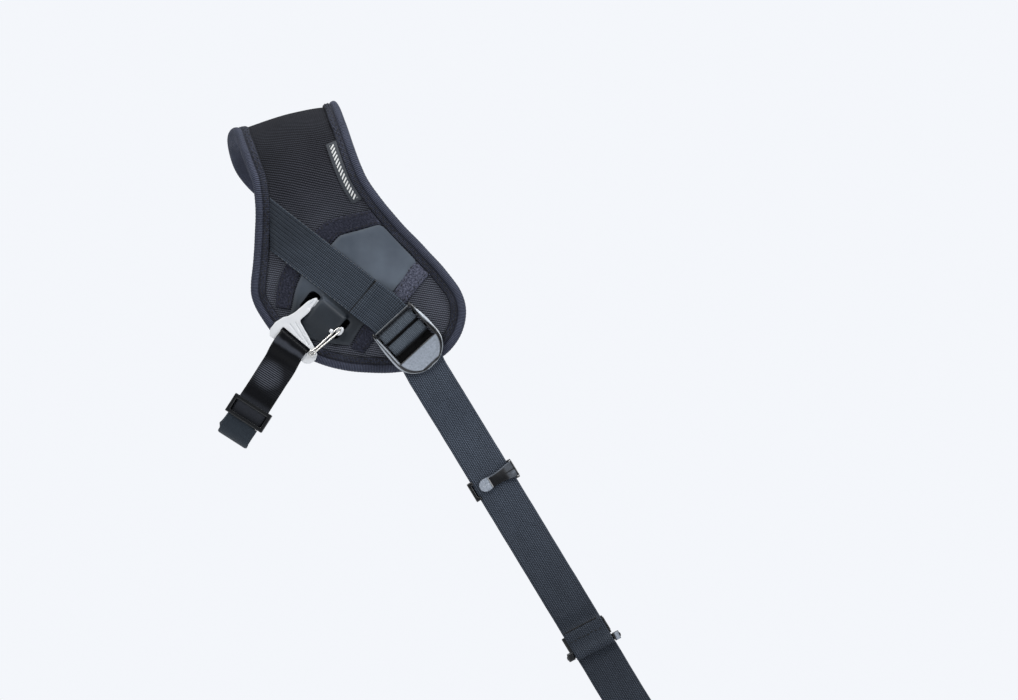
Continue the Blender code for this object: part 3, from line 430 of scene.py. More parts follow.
class Shader:
    def __init__(self, name):
        self.material = bpy.data.materials.new(name)
        self.material.use_nodes = True
        self.tree = self.material.node_tree
        self.tree.nodes.clear()
        self.output = self.node('ShaderNodeOutputMaterial')
        self.principled = self.node('ShaderNodeBsdfPrincipled')
        self.link(self.principled.outputs['BSDF'], self.output.inputs['Surface'])

    def node(self, kind):
        return self.tree.nodes.new(kind)

    def link(self, source, target):
        self.tree.links.new(source, target)

    def put(self, socket, value):
        if isinstance(value, Value):
            self.link(value.socket, socket)
        elif isinstance(value, (tuple, list)) and socket.type == 'RGBA':
            socket.default_value = (*value[:3], 1.0)
        else:
            socket.default_value = value

    def math(self, operation, first, second=None, clamp=False):
        node = self.node('ShaderNodeMath')
        node.operation = operation
        node.use_clamp = clamp
        self.put(node.inputs[0], first)
        if second is not None:
            self.put(node.inputs[1], second)
        return Value(self, node.outputs[0])

    def split(self, socket):
        node = self.node('ShaderNodeSeparateXYZ')
        self.link(socket, node.inputs[0])
        return [Value(self, output) for output in node.outputs]

    def uv(self):
        """The two millimetre coordinates stored in the UV map."""
        node = self.node('ShaderNodeUVMap')
        node.uv_map = 'mm'
        return self.split(node.outputs['UV'])[:2]

    def position(self):
        """Object position in millimetres."""
        node = self.node('ShaderNodeTexCoord')
        return tuple(part * 1000.0 for part in self.split(node.outputs['Object']))

    def attr(self, name):
        node = self.node('ShaderNodeAttribute')
        node.attribute_name = name
        return Value(self, node.outputs['Fac'])

    def pointiness(self):
        return Value(self, self.node('ShaderNodeNewGeometry').outputs['Pointiness'])

    def xyz(self, x, y, z=0.0):
        node = self.node('ShaderNodeCombineXYZ')
        for socket, part in zip(node.inputs, (x, y, z)):
            self.put(socket, part)
        return Value(self, node.outputs[0])

    def noise(self, point, scale=1.0, detail=2.0, rough=0.5):
        node = self.node('ShaderNodeTexNoise')
        self.link(point.socket, node.inputs['Vector'])
        node.inputs['Scale'].default_value = scale
        node.inputs['Detail'].default_value = detail
        node.inputs['Roughness'].default_value = rough
        return Value(self, node.outputs[0])

    def noise_2d(self, x, y, per_x, per_y, detail=2.0):
        """Flat noise with its own scale on each axis, in cells per millimetre."""
        return self.noise(self.xyz(x * per_x, y * per_y), detail=detail)

    def mix(self, amount, first, second):
        node = self.node('ShaderNodeMix')
        node.data_type = 'RGBA'
        self.put(node.inputs[0], amount)
        self.put(node.inputs[6], first)
        self.put(node.inputs[7], second)
        return Value(self, node.outputs[2])

    def set(self, **inputs):
        for name, value in inputs.items():
            self.put(self.principled.inputs[name.replace('_', ' ')], value)

    def done(self, view_colour):
        self.material.diffuse_color = (*view_colour, 1.0)
        return self.material

    def finish(self, view_colour, height, depth, strength, **inputs):
        """Set the surface, with a bump whose depth is in metres."""
        self.set(**inputs)
        node = self.node('ShaderNodeBump')
        node.inputs['Distance'].default_value = depth
        node.inputs['Strength'].default_value = strength
        self.put(node.inputs['Height'], height)
        self.link(node.outputs['Normal'], self.principled.inputs['Normal'])
        return self.done(view_colour)


def scaled(colour, factor):
    return tuple(part * factor for part in colour)


SHADOW = (0.0008, 0.0009, 0.0012)   # webbing where the 'dark' attribute is 1


def mat_lattice(name, dark, light, pitch_along, pitch_across):
    """Plain-weave webbing: a brick lattice of raised thread tops."""
    shader = Shader(name)
    along, across = shader.uv()
    row = (across + HALF_WEB) / pitch_across
    column = (along / pitch_along).brick(row)
    top = (column.hump() * row.hump()).max(0.0).pow(0.75)
    big = shader.noise_2d(along, across, per_x=0.05, per_y=0.12, detail=3.0)
    fine = shader.noise_2d(along, across, per_x=1.7, per_y=1.7)
    tone = top * (0.72 + fine * 0.56)
    tone = (tone * (0.74 + big * 0.52)).clamp()
    colour = shader.mix(tone, dark, light)
    # selvedge cords with a paler dashed thread
    rim = (across.abs() - (HALF_WEB - 1.15)).abs().lt(0.34)
    dash = ((along / 1.9).fract().lt(0.55)) * rim
    colour = shader.mix(dash * 0.1, colour, scaled(light, 2.4))
    colour = shader.mix(rim * 0.35, colour, dark)
    top = top * (1.0 - rim * 0.45)
    # darker lower down
    drop = shader.position()[2].step(-80.0, -215.0) * 0.5
    colour = shader.mix(drop, colour, dark)
    colour = shader.mix(shader.attr('dark'), colour, SHADOW)
    return shader.finish(light, height=top + fine * 0.25, depth=0.00028, strength=0.85,
                         Base_Color=colour, Roughness=fine.around(centre=0.66, spread=0.22),
                         Sheen_Weight=0.04, Sheen_Roughness=0.45, Specular_IOR_Level=0.2)


def mat_ribbed(name, dark, light, pitch, seam_at):
    """Flat-rib webbing: lengthwise ribs crossed by fine weft, denser further along."""
    shader = Shader(name)
    along, across = shader.uv()
    groove = (((across + HALF_WEB) / pitch).fract() - 0.5).abs().step(0.36, 0.5)
    cross = (along / 1.15).hump()
    half_ribs = ((across + HALF_WEB) / (pitch * 0.5)).hump()
    grid = (cross.pow(0.8) * half_ribs.pow(0.6)).max(0.0)
    blend = along.step(20.0, 52.0)
    fine = shader.noise_2d(along, across, per_x=1.6, per_y=1.6)
    big = shader.noise_2d(along, across, per_x=0.045, per_y=0.09, detail=3.0)
    weave = grid * (0.35 + blend * 0.65) + (1.0 - blend) * 0.35
    tone = weave * (0.7 + fine * 0.6) * (0.7 + big * 0.6) * (0.7 + blend * 0.45)
    colour = shader.mix(tone.clamp(), dark, light)
    colour = shader.mix(groove * (0.75 - blend * 0.35), colour, scaled(dark, 0.4))
    rim = (across.abs() - (HALF_WEB - 0.75)).abs().lt(0.32) * ((along / 2.1).fract().lt(0.6))
    colour = shader.mix(rim * 0.2, colour, scaled(light, 2.0))
    # painted shadow: a near-black line where the upper layer's cut edge steps up at the seam
    seam_step_shadow = (along - seam_at).abs().step(0.95, 0.35)
    colour = shader.mix(seam_step_shadow * 0.9, colour, (0.0008, 0.0009, 0.001))
    colour = shader.mix(shader.attr('dark'), colour, SHADOW)
    return shader.finish(light, height=weave * (1.0 - groove) + fine * 0.2,
                         depth=0.00026, strength=0.8,
                         Base_Color=colour, Roughness=fine.around(centre=0.64, spread=0.2),
                         Sheen_Weight=0.04, Sheen_Roughness=0.45, Specular_IOR_Level=0.2)


def mat_pad_cloth(name):
    """Ballistic cloth: fine diagonal ribs, near black."""
    shader = Shader(name)
    side, run = shader.uv()
    slant = math.radians(-24.0)
    over_ribs = run * math.cos(slant) + side * math.sin(slant)
    along_ribs = side * math.cos(slant) - run * math.sin(slant)
    wobble = shader.noise_2d(side, run, per_x=0.15, per_y=0.15)
    row = wobble.around(centre=over_ribs, spread=0.7) / 1.25
    rib = row.hump()
    stitch = (along_ribs / 1.35).brick(row).hump()
    fine = shader.noise_2d(side, run, per_x=2.2, per_y=2.2, detail=3.0)
    big = shader.noise_2d(side, run, per_x=0.035, per_y=0.035, detail=3.0)
    weave = (rib.pow(1.3) * (0.55 + stitch * 0.45))
    tone = (weave * (0.6 + fine * 0.8) * (0.65 + big * 0.7)).clamp()
    low = run.step(40.0, 125.0)   # paler down the rear
    tone = tone * (0.24 + low * 0.76)
    colour = shader.mix(tone, (0.0030, 0.0031, 0.0042), (0.150, 0.160, 0.198))
    # painted shade: near black where the 'dark' attribute marks the pocket under the patch openings
    colour = shader.mix(shader.attr('dark'), colour, (0.002, 0.002, 0.0025))
    return shader.finish((0.03, 0.027, 0.029), height=weave + fine * 0.25,
                         depth=0.00026, strength=0.8,
                         Base_Color=colour, Roughness=0.78, Sheen_Weight=0.015,
                         Sheen_Roughness=0.5, Specular_IOR_Level=0.07)


def mat_binding(name):
    """Edge tape: a woven flat band, then a rolled edge with fine cross ribs."""
    shader = Shader(name)
    along, inset = shader.uv()
    fine = shader.noise_2d(along, inset, per_x=1.4, per_y=1.4, detail=3.0)
    big = shader.noise_2d(along, inset, per_x=0.03, per_y=0.1, detail=3.0)
    rib = (along / 0.95).hump()
    roll = inset.lt(4.5)
    cross = (inset / 0.7).brick(along / 0.95).hump()
    weave = rib * roll + (rib * cross) * (1.0 - roll)
    tone = (weave * (0.5 + fine * 0.9) * (0.55 + big * 0.9)).clamp()
    colour = shader.mix(tone, (0.0010, 0.0012, 0.0022), (0.082, 0.092, 0.138))
    # dark inner edge, and a soft dark line beside the roll
    seam = inset.step(8.2, 9.0)
    soft = (inset - 4.9).abs().step(1.1, 0.1) * 0.45
    colour = shader.mix(seam.max(soft) * 0.9, colour, (0.0009, 0.0009, 0.0012))
    return shader.finish((0.02, 0.023, 0.037), height=weave + fine * 0.5,
                         depth=0.0003, strength=0.8,
                         Base_Color=colour, Roughness=0.74, Sheen_Weight=0.09,
                         Sheen_Roughness=0.4, Sheen_Tint=(0.8, 0.86, 1.0),
                         Specular_IOR_Level=0.2)


def mat_felt(name):
    """Brushed tape with a short nap and loose flecks, paler to the right."""
    shader = Shader(name)
    along, across = shader.uv()
    point = shader.xyz(along, across)
    nap = shader.noise(point, scale=0.9, detail=5.0, rough=0.7)
    fuzz = shader.noise(point, scale=3.2, detail=3.0, rough=0.6)
    fleck = shader.noise_2d(along, across, per_x=1.9, per_y=0.9).step(0.62, 0.72)
    tone = ((nap * 1.7 + fuzz * 1.0) - 0.85).clamp()
    lit = shader.position()[0].step(8.0, 38.0)
    light = shader.mix(lit, (0.085, 0.092, 0.135), (0.30, 0.32, 0.44))
    colour = shader.mix(tone.pow(1.6), (0.0028, 0.0030, 0.0052), light)
    colour = shader.mix(fleck * 0.8, colour, (0.0015, 0.0015, 0.002))
    return shader.finish((0.022, 0.02, 0.032), height=nap * 1.2 + fuzz * 0.7,
                         depth=0.0006, strength=0.9,
                         Base_Color=colour, Roughness=0.95, Sheen_Weight=0.12,
                         Sheen_Roughness=0.5, Sheen_Tint=(0.82, 0.8, 1.0),
                         Specular_IOR_Level=0.1)


def mat_rubber(name):
    """Smooth matte rubber, dusty and faintly mottled, with painted light making it paler towards its
    top.
    """
    shader = Shader(name)
    x, y, z = shader.position()
    point = shader.xyz(x, y, z)
    big = shader.noise(point, scale=0.045, detail=4.0)
    fine = shader.noise(point, scale=1.6, detail=4.0, rough=0.6)
    speck = shader.noise(point, scale=0.9, detail=1.0).step(0.74, 0.78)
    tone = (big * 1.6 - 0.3).clamp()
    # painted light: dark tones lower down blend into pale ones towards the top
    colour = shader.mix(z.step(-14.0, 10.0),
                        shader.mix(tone, (0.010, 0.0135, 0.019), (0.030, 0.039, 0.051)),
                        shader.mix(tone, (0.058, 0.073, 0.096), (0.140, 0.170, 0.213)))
    colour = shader.mix(speck * 0.25, colour, (0.12, 0.13, 0.14))
    edge = shader.pointiness().step(0.51, 0.54)
    colour = shader.mix(edge * 0.12, colour, (0.1, 0.11, 0.12))
    return shader.finish((0.034, 0.042, 0.048), height=fine, depth=0.00008, strength=0.6,
                         Base_Color=colour, Roughness=fine.around(centre=0.47, spread=0.25),
                         Specular_IOR_Level=0.4)


def mat_gloss(name, plate=False):
    """Moulded acetal: glossy, edges a little rubbed; plate adds a painted pale reflection and
    painted highlights.
    """
    base = (0.0035, 0.004, 0.0052)
    shader = Shader(name)
    x, y, z = shader.position()
    point = shader.xyz(x, y, z)
    big = shader.noise(point, scale=0.12, detail=3.0)
    fine = shader.noise(point, scale=2.5, detail=4.0, rough=0.65)
    scratch = shader.noise(shader.xyz(x * 0.3, y * 0.3, z * 4.0)).step(0.66, 0.72)
    edge = shader.pointiness().step(0.515, 0.57)
    colour = shader.mix(edge * 0.2, base, tuple(part * 3.0 + 0.01 for part in base))
    colour = shader.mix(scratch * 0.25, colour, scaled(base, 2.5))
    rough = big.around(centre=0.16, spread=0.12) + scratch * 0.08 + edge * 0.08
    if plate:
        # painted reflection: pale grey where the 'plate' attribute is set; painted highlight lines
        # where 'glint' is set
        on_plate = shader.attr('plate')
        grain = shader.noise(point, scale=0.9, detail=4.0, rough=0.7)
        painted_reflection = shader.mix((grain * 2.4 - 0.7).clamp(),
                           (0.24, 0.275, 0.325), (0.44, 0.485, 0.56))
        colour = shader.mix(on_plate, colour, painted_reflection)
        rough = rough * (1.0 - on_plate) + on_plate * 0.42
        colour = shader.mix(shader.attr('glint') * 0.8, colour, (0.72, 0.78, 0.86))
    return shader.finish(base, height=fine, depth=0.00003, strength=0.7,
                         Base_Color=colour, Roughness=rough, Specular_IOR_Level=0.6,
                         Coat_Weight=0.2, Coat_Roughness=0.1)


def mat_white_cast(name):
    """White casting, paler on its edges, with painted shade greying its hollows."""
    shader = Shader(name)
    point = shader.xyz(*shader.position())
    big = shader.noise(point, scale=0.1, detail=3.0)
    fine = shader.noise(point, scale=1.8, detail=4.0, rough=0.6)
    edge = shader.pointiness().step(0.515, 0.57)
    hollow = shader.pointiness().step(0.49, 0.44)
    colour = shader.mix((big * 1.2 - 0.1).clamp(), (0.82, 0.835, 0.86), (0.93, 0.94, 0.95))
    colour = shader.mix(edge * 0.35, colour, (0.97, 0.97, 0.98))
    # painted shade in the hollows and grooves
    colour = shader.mix(hollow * 0.55, colour, (0.42, 0.44, 0.47))
    return shader.finish((0.82, 0.83, 0.84), height=fine, depth=0.00005, strength=0.7,
                         Base_Color=colour, Roughness=fine.around(centre=0.3, spread=0.15),
                         Coat_Weight=0.3, Coat_Roughness=0.15)


def mat_steel(name, tint, rough):
    """Polished steel with fine brushing and tarnish in the hollows."""
    shader = Shader(name)
    x, y, z = shader.position()
    brushed = shader.noise(shader.xyz(x * 6.0, y * 0.4, z * 6.0), detail=4.0, rough=0.7)
    big = shader.noise(shader.xyz(x, y, z), scale=0.15, detail=3.0)
    hollow = shader.pointiness().step(0.49, 0.43)
    colour = shader.mix((brushed * 0.8 + big * 0.4 - 0.1).clamp(),
                        scaled(tint, 0.78), scaled(tint, 1.12))
    colour = shader.mix(hollow * 0.6, colour, (0.12, 0.11, 0.10))
    return shader.finish(tint, height=brushed, depth=0.00002, strength=0.6,
                         Base_Color=colour, Metallic=1.0,
                         Roughness=brushed.around(centre=rough, spread=0.18))


def mat_thread(name, colour):
    shader = Shader(name)
    twist = shader.noise(shader.xyz(*shader.position()), scale=3.0)
    mixed = shader.mix(twist, scaled(colour, 0.6), scaled(colour, 1.6))
    return shader.finish(colour, height=twist, depth=0.00008, strength=0.7,
                         Base_Color=mixed, Roughness=0.75, Sheen_Weight=0.1)


def mat_mesh_lining(name):
    """Spacer mesh: staggered rows of small holes."""
    shader = Shader(name)
    side, run = shader.uv()
    row = run / 2.2
    hole_x = (side / 2.5).brick(row).fract() - 0.5
    hole_y = row.fract() - 0.5
    radius = (hole_x * hole_x * 6.2 + hole_y * hole_y * 4.8)
    hole = radius.step(0.62, 0.3)
    fine = shader.noise_2d(side, run, per_x=2.0, per_y=2.0, detail=3.0)
    big = shader.noise_2d(side, run, per_x=0.04, per_y=0.04, detail=3.0)
    colour = shader.mix((fine * 0.7 + big * 0.5 - 0.1).clamp(),
                        (0.016, 0.017, 0.020), (0.055, 0.058, 0.066))
    colour = shader.mix(hole, colour, (0.003, 0.003, 0.004))
    return shader.finish((0.035, 0.037, 0.042), height=(1.0 - hole) + fine * 0.3,
                         depth=0.0005, strength=0.9,
                         Base_Color=colour, Roughness=0.85, Sheen_Weight=0.2,
                         Specular_IOR_Level=0.25)


def mat_label(name):
    """Woven label: slate ground with one even band of pale slanted stripes."""
    shader = Shader(name)
    along, across = shader.uv()
    fine = shader.noise_2d(along, across, per_x=2.4, per_y=2.4)
    ribs = (along / 0.5).hump()
    inner = (along - LABEL_L / 2).abs().lt(LABEL_L / 2 - 1.6)
    stripes = ((along + across * 0.7) / 2.1).fract().lt(0.5) * (across + 0.2).abs().lt(1.3)
    mark = stripes * inner
    colour = shader.mix((fine * 0.8 + ribs * 0.3).clamp(),
                        (0.010, 0.013, 0.019), (0.040, 0.048, 0.062))
    pale = shader.mix(fine, (0.62, 0.63, 0.62), (0.86, 0.87, 0.85))
    colour = shader.mix(mark, colour, pale)
    return shader.finish((0.05, 0.06, 0.08), height=ribs * 0.5 + mark * 0.6 + fine * 0.3,
                         depth=0.00015, strength=0.8,
                         Base_Color=colour, Roughness=0.65, Sheen_Weight=0.15)


def mat_arm(name, dark, light, rough, fold=None):
    """Smooth-yarn webbing; given a fold, painted light pools below it and on the ribs."""
    shader = Shader(name)
    along, across = shader.uv()
    fine = shader.noise_2d(along, across, per_x=0.35, per_y=2.6, detail=3.0)
    dots = shader.noise_2d(along, across, per_x=2.0, per_y=2.0)
    yarns = (across / 0.8).hump()
    tone = (yarns * 0.35 + fine * 0.8 - 0.25).clamp()
    colour = shader.mix(tone, dark, light)
    if fold:
        below = fold - along
        wobble = (shader.noise_2d(along, across, per_x=0.2, per_y=0.25) - 0.5) * 1.5
        stripe = ((below + wobble - 5.6).abs()).step(2.6, 0.6)
        ribs = (below / 1.2).hump().pow(2.6)
        zone = below.step(15.0, 18.5) * below.step(38.5, 33.0)
        pool = ((across * across) * 0.012 + (below - 26.0) * (below - 26.0) * 0.012
                + across * 0.05)
        pool = pool.step(1.25, 0.05)
        light_above_slider = below.step(41.0, 46.5) * below.step(58.0, 48.0)
        lit = stripe * 0.42 + zone * ribs * (0.12 + pool * 0.85) + light_above_slider * 0.3
        # painted highlights: a band below the fold, light on the ribs and a haze above the slider
        colour = shader.mix(lit.clamp(), colour, (0.115, 0.125, 0.155))
    return shader.finish(light, height=yarns * 0.6 + fine * 0.4, depth=0.00010, strength=0.6,
                         Base_Color=colour, Roughness=dots.around(centre=rough, spread=0.15),
                         Sheen_Weight=0.0, Specular_IOR_Level=0.16)


MAT = {
    "web": mat_lattice("webbing_lattice", dark=(0.0022, 0.0030, 0.0050),
                       light=(0.118, 0.146, 0.196), pitch_along=1.15, pitch_across=1.25),
    "web_hump": mat_lattice("webbing_over_bar", dark=(0.0030, 0.0042, 0.0062),
                            light=(0.17, 0.205, 0.25), pitch_along=0.86, pitch_across=0.862),
    "cloth": mat_pad_cloth("pad_cloth"),
    "binding": mat_binding("edge_binding"),
    "felt": mat_felt("brushed_tape"),
    "rubber": mat_rubber("matte_rubber"),
    "gloss": mat_gloss("gloss_acetal"),
    "buckle": mat_gloss("gloss_acetal_buckle", plate=True),
    "lever": mat_gloss("gloss_acetal_lever", plate=True),
    "white": mat_white_cast("white_casting"),
    "steel": mat_steel("polished_steel", tint=(0.74, 0.73, 0.71), rough=0.22),
    "wire": mat_steel("bright_wire", tint=(0.86, 0.84, 0.80), rough=0.16),
    "thread": mat_thread("black_thread", (0.004, 0.004, 0.005)),
    "thread_pale": mat_thread("slate_thread", (0.085, 0.095, 0.11)),
    "lining": mat_mesh_lining("spacer_mesh"),
    "arm": mat_arm("shiny_webbing", dark=(0.0010, 0.0012, 0.0018),
                   light=(0.0055, 0.0065, 0.0095), rough=0.36, fold=ARM_FOLD),
    "arm_flat": mat_arm("smooth_webbing", dark=(0.0160, 0.0215, 0.0300),
                        light=(0.050, 0.066, 0.084), rough=0.5),
    "label": mat_label("woven_label"),
}


# =====================================================================
# mesh helpers
# =====================================================================
def read_points(mesh):
    """Vertex positions in layout millimetres."""
    points = np.zeros(len(mesh.vertices) * 3)
    mesh.vertices.foreach_get('co', points)
    return points.reshape(-1, 3) / MM + REST


def write_points(mesh, points):
    mesh.vertices.foreach_set('co', ((points - REST) * MM).astype(np.float32).ravel())
    mesh.update()


def write_attr(mesh, name, values):
    attribute = mesh.attributes.new(name, 'FLOAT', 'POINT')
    attribute.data.foreach_set('value', np.asarray(values, np.float32))


def loop_vertices(mesh):
    indices = np.zeros(len(mesh.loops), np.int32)
    mesh.loops.foreach_get('vertex_index', indices)
    return indices


def link_object(name, mesh):
    ob = bpy.data.objects.new(name, mesh)
    bpy.context.scene.collection.objects.link(ob)
    return ob


def make(name, verts, faces, material, uv=None, attrs=None, smooth=True, sharp=None):
    """Mesh object from layout points. uv is one pair per vertex, sharp an angle in degrees."""
    mesh = bpy.data.meshes.new(name)
    mesh.from_pydata([world(v) for v in verts], [], [tuple(map(int, f)) for f in faces])
    if uv is not None:
        layer = mesh.uv_layers.new(name='mm')
        layer.data.foreach_set('uv', np.asarray(uv, np.float32)[loop_vertices(mesh)].ravel())
    for key, values in (attrs or {}).items():
        write_attr(mesh, key, values)
    mesh.validate()
    bm = bmesh.new()
    bm.from_mesh(mesh)
    bmesh.ops.recalc_face_normals(bm, faces=bm.faces)
    bm.to_mesh(mesh)
    bm.free()
    ob = link_object(name, mesh)
    if smooth:
        mesh.shade_smooth()
        if sharp:
            mesh.set_sharp_from_angle(angle=math.radians(sharp))
    if material is not None:
        mesh.materials.append(material)
    return ob


def attach(part, body, slot, *cad_nodes):
    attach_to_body(part, body)
    if cad_nodes:
        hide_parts(*cad_nodes)


def attach_between(part, cad_node, start, end):
    """For a flexible part: hide its CAD node and bake its transform; it is not attached to a body.
    """
    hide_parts(cad_node)
    world(start)
    world(end)
    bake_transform(part)


def skin(rows, size, closed=False):
    """Quads between successive rings of vertices."""
    faces = []
    for i in range(rows if closed else rows - 1):
        here, there = i * size, ((i + 1) % rows) * size
        for j in range(size):
            j2 = (j + 1) % size
            faces.append((here + j, here + j2, there + j2, there + j))
    return faces


def loft(sections, closed=False):
    size = len(sections[0])
    rows = len(sections)
    faces = skin(rows, size, closed)
    if not closed:
        faces.append(tuple(range(size))[::-1])
        faces.append(tuple(range((rows - 1) * size, rows * size)))
    return [point for section in sections for point in section], faces


def slab(rows, flip_start=False):
    """Thin closed strip from rows of (top points, bottom points, uv pairs)."""
    verts, uvs = [], []
    for top, bottom, uv in rows:
        verts += list(top) + list(bottom)[::-1]
        uvs += uv + uv[::-1]
    size = 2 * len(rows[0][0])
    faces = skin(len(rows), size)
    for first in (0, (len(rows) - 1) * size):
        for j in range(size // 2 - 1):
            cap = (first + j, first + j + 1, first + size - 2 - j, first + size - 1 - j)
            faces.append(cap[::-1] if flip_start and not first else cap)
    return verts, faces, uvs


def resample(rows, step):
    """Band rows smoothed and evened: points, across, normals and lengths."""
    centres = np.array([row[0] for row in rows], float)
    across = np.array([unit(row[1]) for row in rows])
    normals = np.array([unit(row[2]) for row in rows])
    lengths = arc_lengths(centres)
    gaps = np.diff(lengths)[:, None]
    slopes = np.diff(centres, axis=0) / gaps
    tangents = np.zeros_like(centres)
    tangents[0], tangents[-1] = slopes[0], slopes[-1]
    tangents[1:-1] = (slopes[:-1] * gaps[1:] + slopes[1:] * gaps[:-1]) / (gaps[:-1] + gaps[1:])
    count = max(2, int(math.ceil(lengths[-1] / step)))
    places = np.linspace(0, lengths[-1], count + 1)
    k = np.clip(np.searchsorted(lengths, places, side='right') - 1, 0, len(lengths) - 2)
    t = ((places - lengths[k]) / (lengths[k + 1] - lengths[k]))[:, None]
    points = hermite(t, gaps[k], centres[k], tangents[k], centres[k + 1], tangents[k + 1])
    widths = (1 - t) * across[k] + t * across[k + 1]
    wanted = (1 - t) * normals[k] + t * normals[k + 1]
    heading = np.gradient(points, axis=0)
    heading /= np.linalg.norm(heading, axis=1)[:, None]
    widths -= heading * np.sum(widths * heading, 1)[:, None]
    widths /= np.linalg.norm(widths, axis=1)[:, None]
    outs = np.cross(heading, widths)
    outs[np.sum(outs * wanted, 1) < 0] *= -1
    return points, widths, outs, places


def band(name, rows, material, step, cols, wander, seed, width=WEB_W, thick=WEB_T,
         rib=None, relief=None, shade=None):
    """Woven band with rounded selvedges.

    rib(across) adds height across the width; relief(along, across) adds height anywhere;
    shade(points) gives the 'dark' attribute.
    """
    points, widths, outs, places = resample(rows, step)
    edge_r = thick * 0.5
    across = np.linspace(-1, 1, cols + 1) * (width / 2)
    lift = waves(places, seed, (38.0, 61.0, 23.0), (wander, wander * 0.8, wander * 0.4)) * 0.35
    shift = waves(places, seed + 5, (45.0, 17.0), (wander * 0.6, wander * 0.3))
    edge = np.clip((np.abs(across) - (width / 2 - edge_r)) / edge_r, 0, 1)
    half = thick / 2 * np.sqrt(np.clip(1 - edge * edge, 0.04, 1))
    ribbed = half if rib is None else half + rib(across) * (1 - edge)
    sections = []
    for i, place in enumerate(places):
        top = ribbed
        if relief is not None:
            top = top + relief(np.full_like(across, place), across) * (1 - edge)
        line = points[i] + np.outer(across + shift[i], widths[i])
        sections.append((line + np.outer(top + lift[i], outs[i]),
                         line + np.outer(lift[i] - half, outs[i]),
                         [(place, w) for w in across]))
    verts, faces, uvs = slab(sections, flip_start=True)
    dark = np.zeros(len(verts)) if shade is None else shade(np.array(verts))
    return make(name, verts, faces, material, uvs, {"dark": dark}, sharp=50)


def web_ribs(height, pitch):
    """Lengthwise ribs for a band of webbing."""
    return lambda across: (height * np.abs(np.cos(PI * (across + HALF_WEB) / pitch - PI / 2)) ** 0.7
                           - height / 2)


def show_fine_face(ob, above, start=-math.inf, end=math.inf):
    """Give the part of a band that humps over a buckle bar the finer weave."""
    ob.data.materials.append(MAT["web_hump"])
    along, _, out = BUCKLE.local(read_points(ob.data))
    for face in ob.data.polygons:
        first = face.vertices[0]
        if out[first] > above and start < along[first] < end:
            face.material_index = 1


# One stitch: place along its length, share of its radius, height.
STITCH = [(-0.5, 0.0, -0.16), (-0.42, 0.8, 0.02), (-0.2, 1.0, 0.12), (0.0, 1.0, 0.15),
          (0.2, 1.0, 0.12), (0.42, 0.8, 0.02), (0.5, 0.0, -0.16)]


def sew(name, stitches, thread, body, slot, length, radius):
    """A row of short threads; each stitch is (middle, direction, normal)."""
    verts, faces = [], []
    rings = len(STITCH) - 2
    for middle, direction, normal in stitches:
        direction, normal = unit(direction), unit(normal)
        across = np.cross(direction, normal)
        base = len(verts)
        for place, share, height in STITCH:
            centre = middle + direction * (place * length) + normal * height
            if share == 0.0:
                verts.append(centre)
                continue
            for j in range(6):
                angle = 2 * PI * j / 6
                spoke = across * math.cos(angle) + normal * math.sin(angle)
                verts.append(centre + spoke * radius * share)
        last = len(verts) - 1
        end = base + 1 + 6 * (rings - 1)
        for j in range(6):
            j2 = (j + 1) % 6
            faces.append((base, base + 1 + j2, base + 1 + j))
            for k in range(rings - 1):
                here, there = base + 1 + 6 * k, base + 1 + 6 * (k + 1)
                faces.append((here + j, here + j2, there + j2, there + j))
            faces.append((end + j, end + j2, last))
    attach(make(name, verts, faces, MAT[thread]), body, slot)


def solid(verts, faces):
    """A working shape to be fused or cut."""
    return make("tmp", verts, faces, None, smooth=False)


def prism(axes, outline, out0, out1):
    return loft([[axes.at(s, w, out) for s, w in outline] for out in (out0, out1)])


def block(axes, s0, s1, w0, w1, out0, out1):
    return prism(axes, [(s0, w0), (s1, w0), (s1, w1), (s0, w1)], out0, out1)


def tube(points, radius, sides=12, closed=False):
    """Round bar through points; radius is a number or a function of 0 to 1."""
    points = [vec(*p) for p in points]
    count = len(points)
    sections = []
    up = None
    for i, centre in enumerate(points):
        before = points[(i - 1) % count] if (closed or i > 0) else centre
        after = points[(i + 1) % count] if (closed or i < count - 1) else centre
        tangent = unit(after - before)
        if up is None:
            up = vec(0, 1, 0) if abs(tangent[1]) < 0.9 else vec(0, 0, 1)
        up = unit(up - tangent * np.dot(up, tangent))
        side = np.cross(tangent, up)
        size = radius(i / (count - 1)) if callable(radius) else radius
        angles = [2 * PI * j / sides for j in range(sides)]
        sections.append([centre + size * (math.cos(a) * up + math.sin(a) * side)
                         for a in angles])
    return loft(sections, closed)


def ellipsoid(centre, along_r, across_r, out_r, rings=16):
    """Ellipsoid on the carabiner's axes."""
    verts, faces = [], []
    size = 2 * rings
    for i in range(1, rings):
        for j in range(size):
            polar, turn = PI * i / rings, PI * j / rings
            verts.append(centre + CLIP.along * (along_r * math.cos(polar))
                         + CLIP.across * (across_r * math.sin(polar) * math.cos(turn))
                         + CLIP.out * (out_r * math.sin(polar) * math.sin(turn)))
    top, bottom = len(verts), len(verts) + 1
    verts += [centre + CLIP.along * along_r, centre - CLIP.along * along_r]
    for i in range(rings - 2):
        for j in range(size):
            j2 = (j + 1) % size
            faces.append((i * size + j, i * size + j2, (i + 1) * size + j2, (i + 1) * size + j))
    last = (rings - 2) * size
    for j in range(size):
        faces.append((top, (j + 1) % size, j))
        faces.append((bottom, last + j, last + (j + 1) % size))
    return verts, faces


def from_cad(node):
    """A working copy of a CAD node's mesh."""
    mesh = frame["nodes"][node].data.copy()
    mesh.materials.clear()
    bm = bmesh.new()
    bm.from_mesh(mesh)
    bmesh.ops.remove_doubles(bm, verts=bm.verts, dist=2e-6)
    bm.to_mesh(mesh)
    bm.free()
    return link_object("tmp_" + node, mesh)


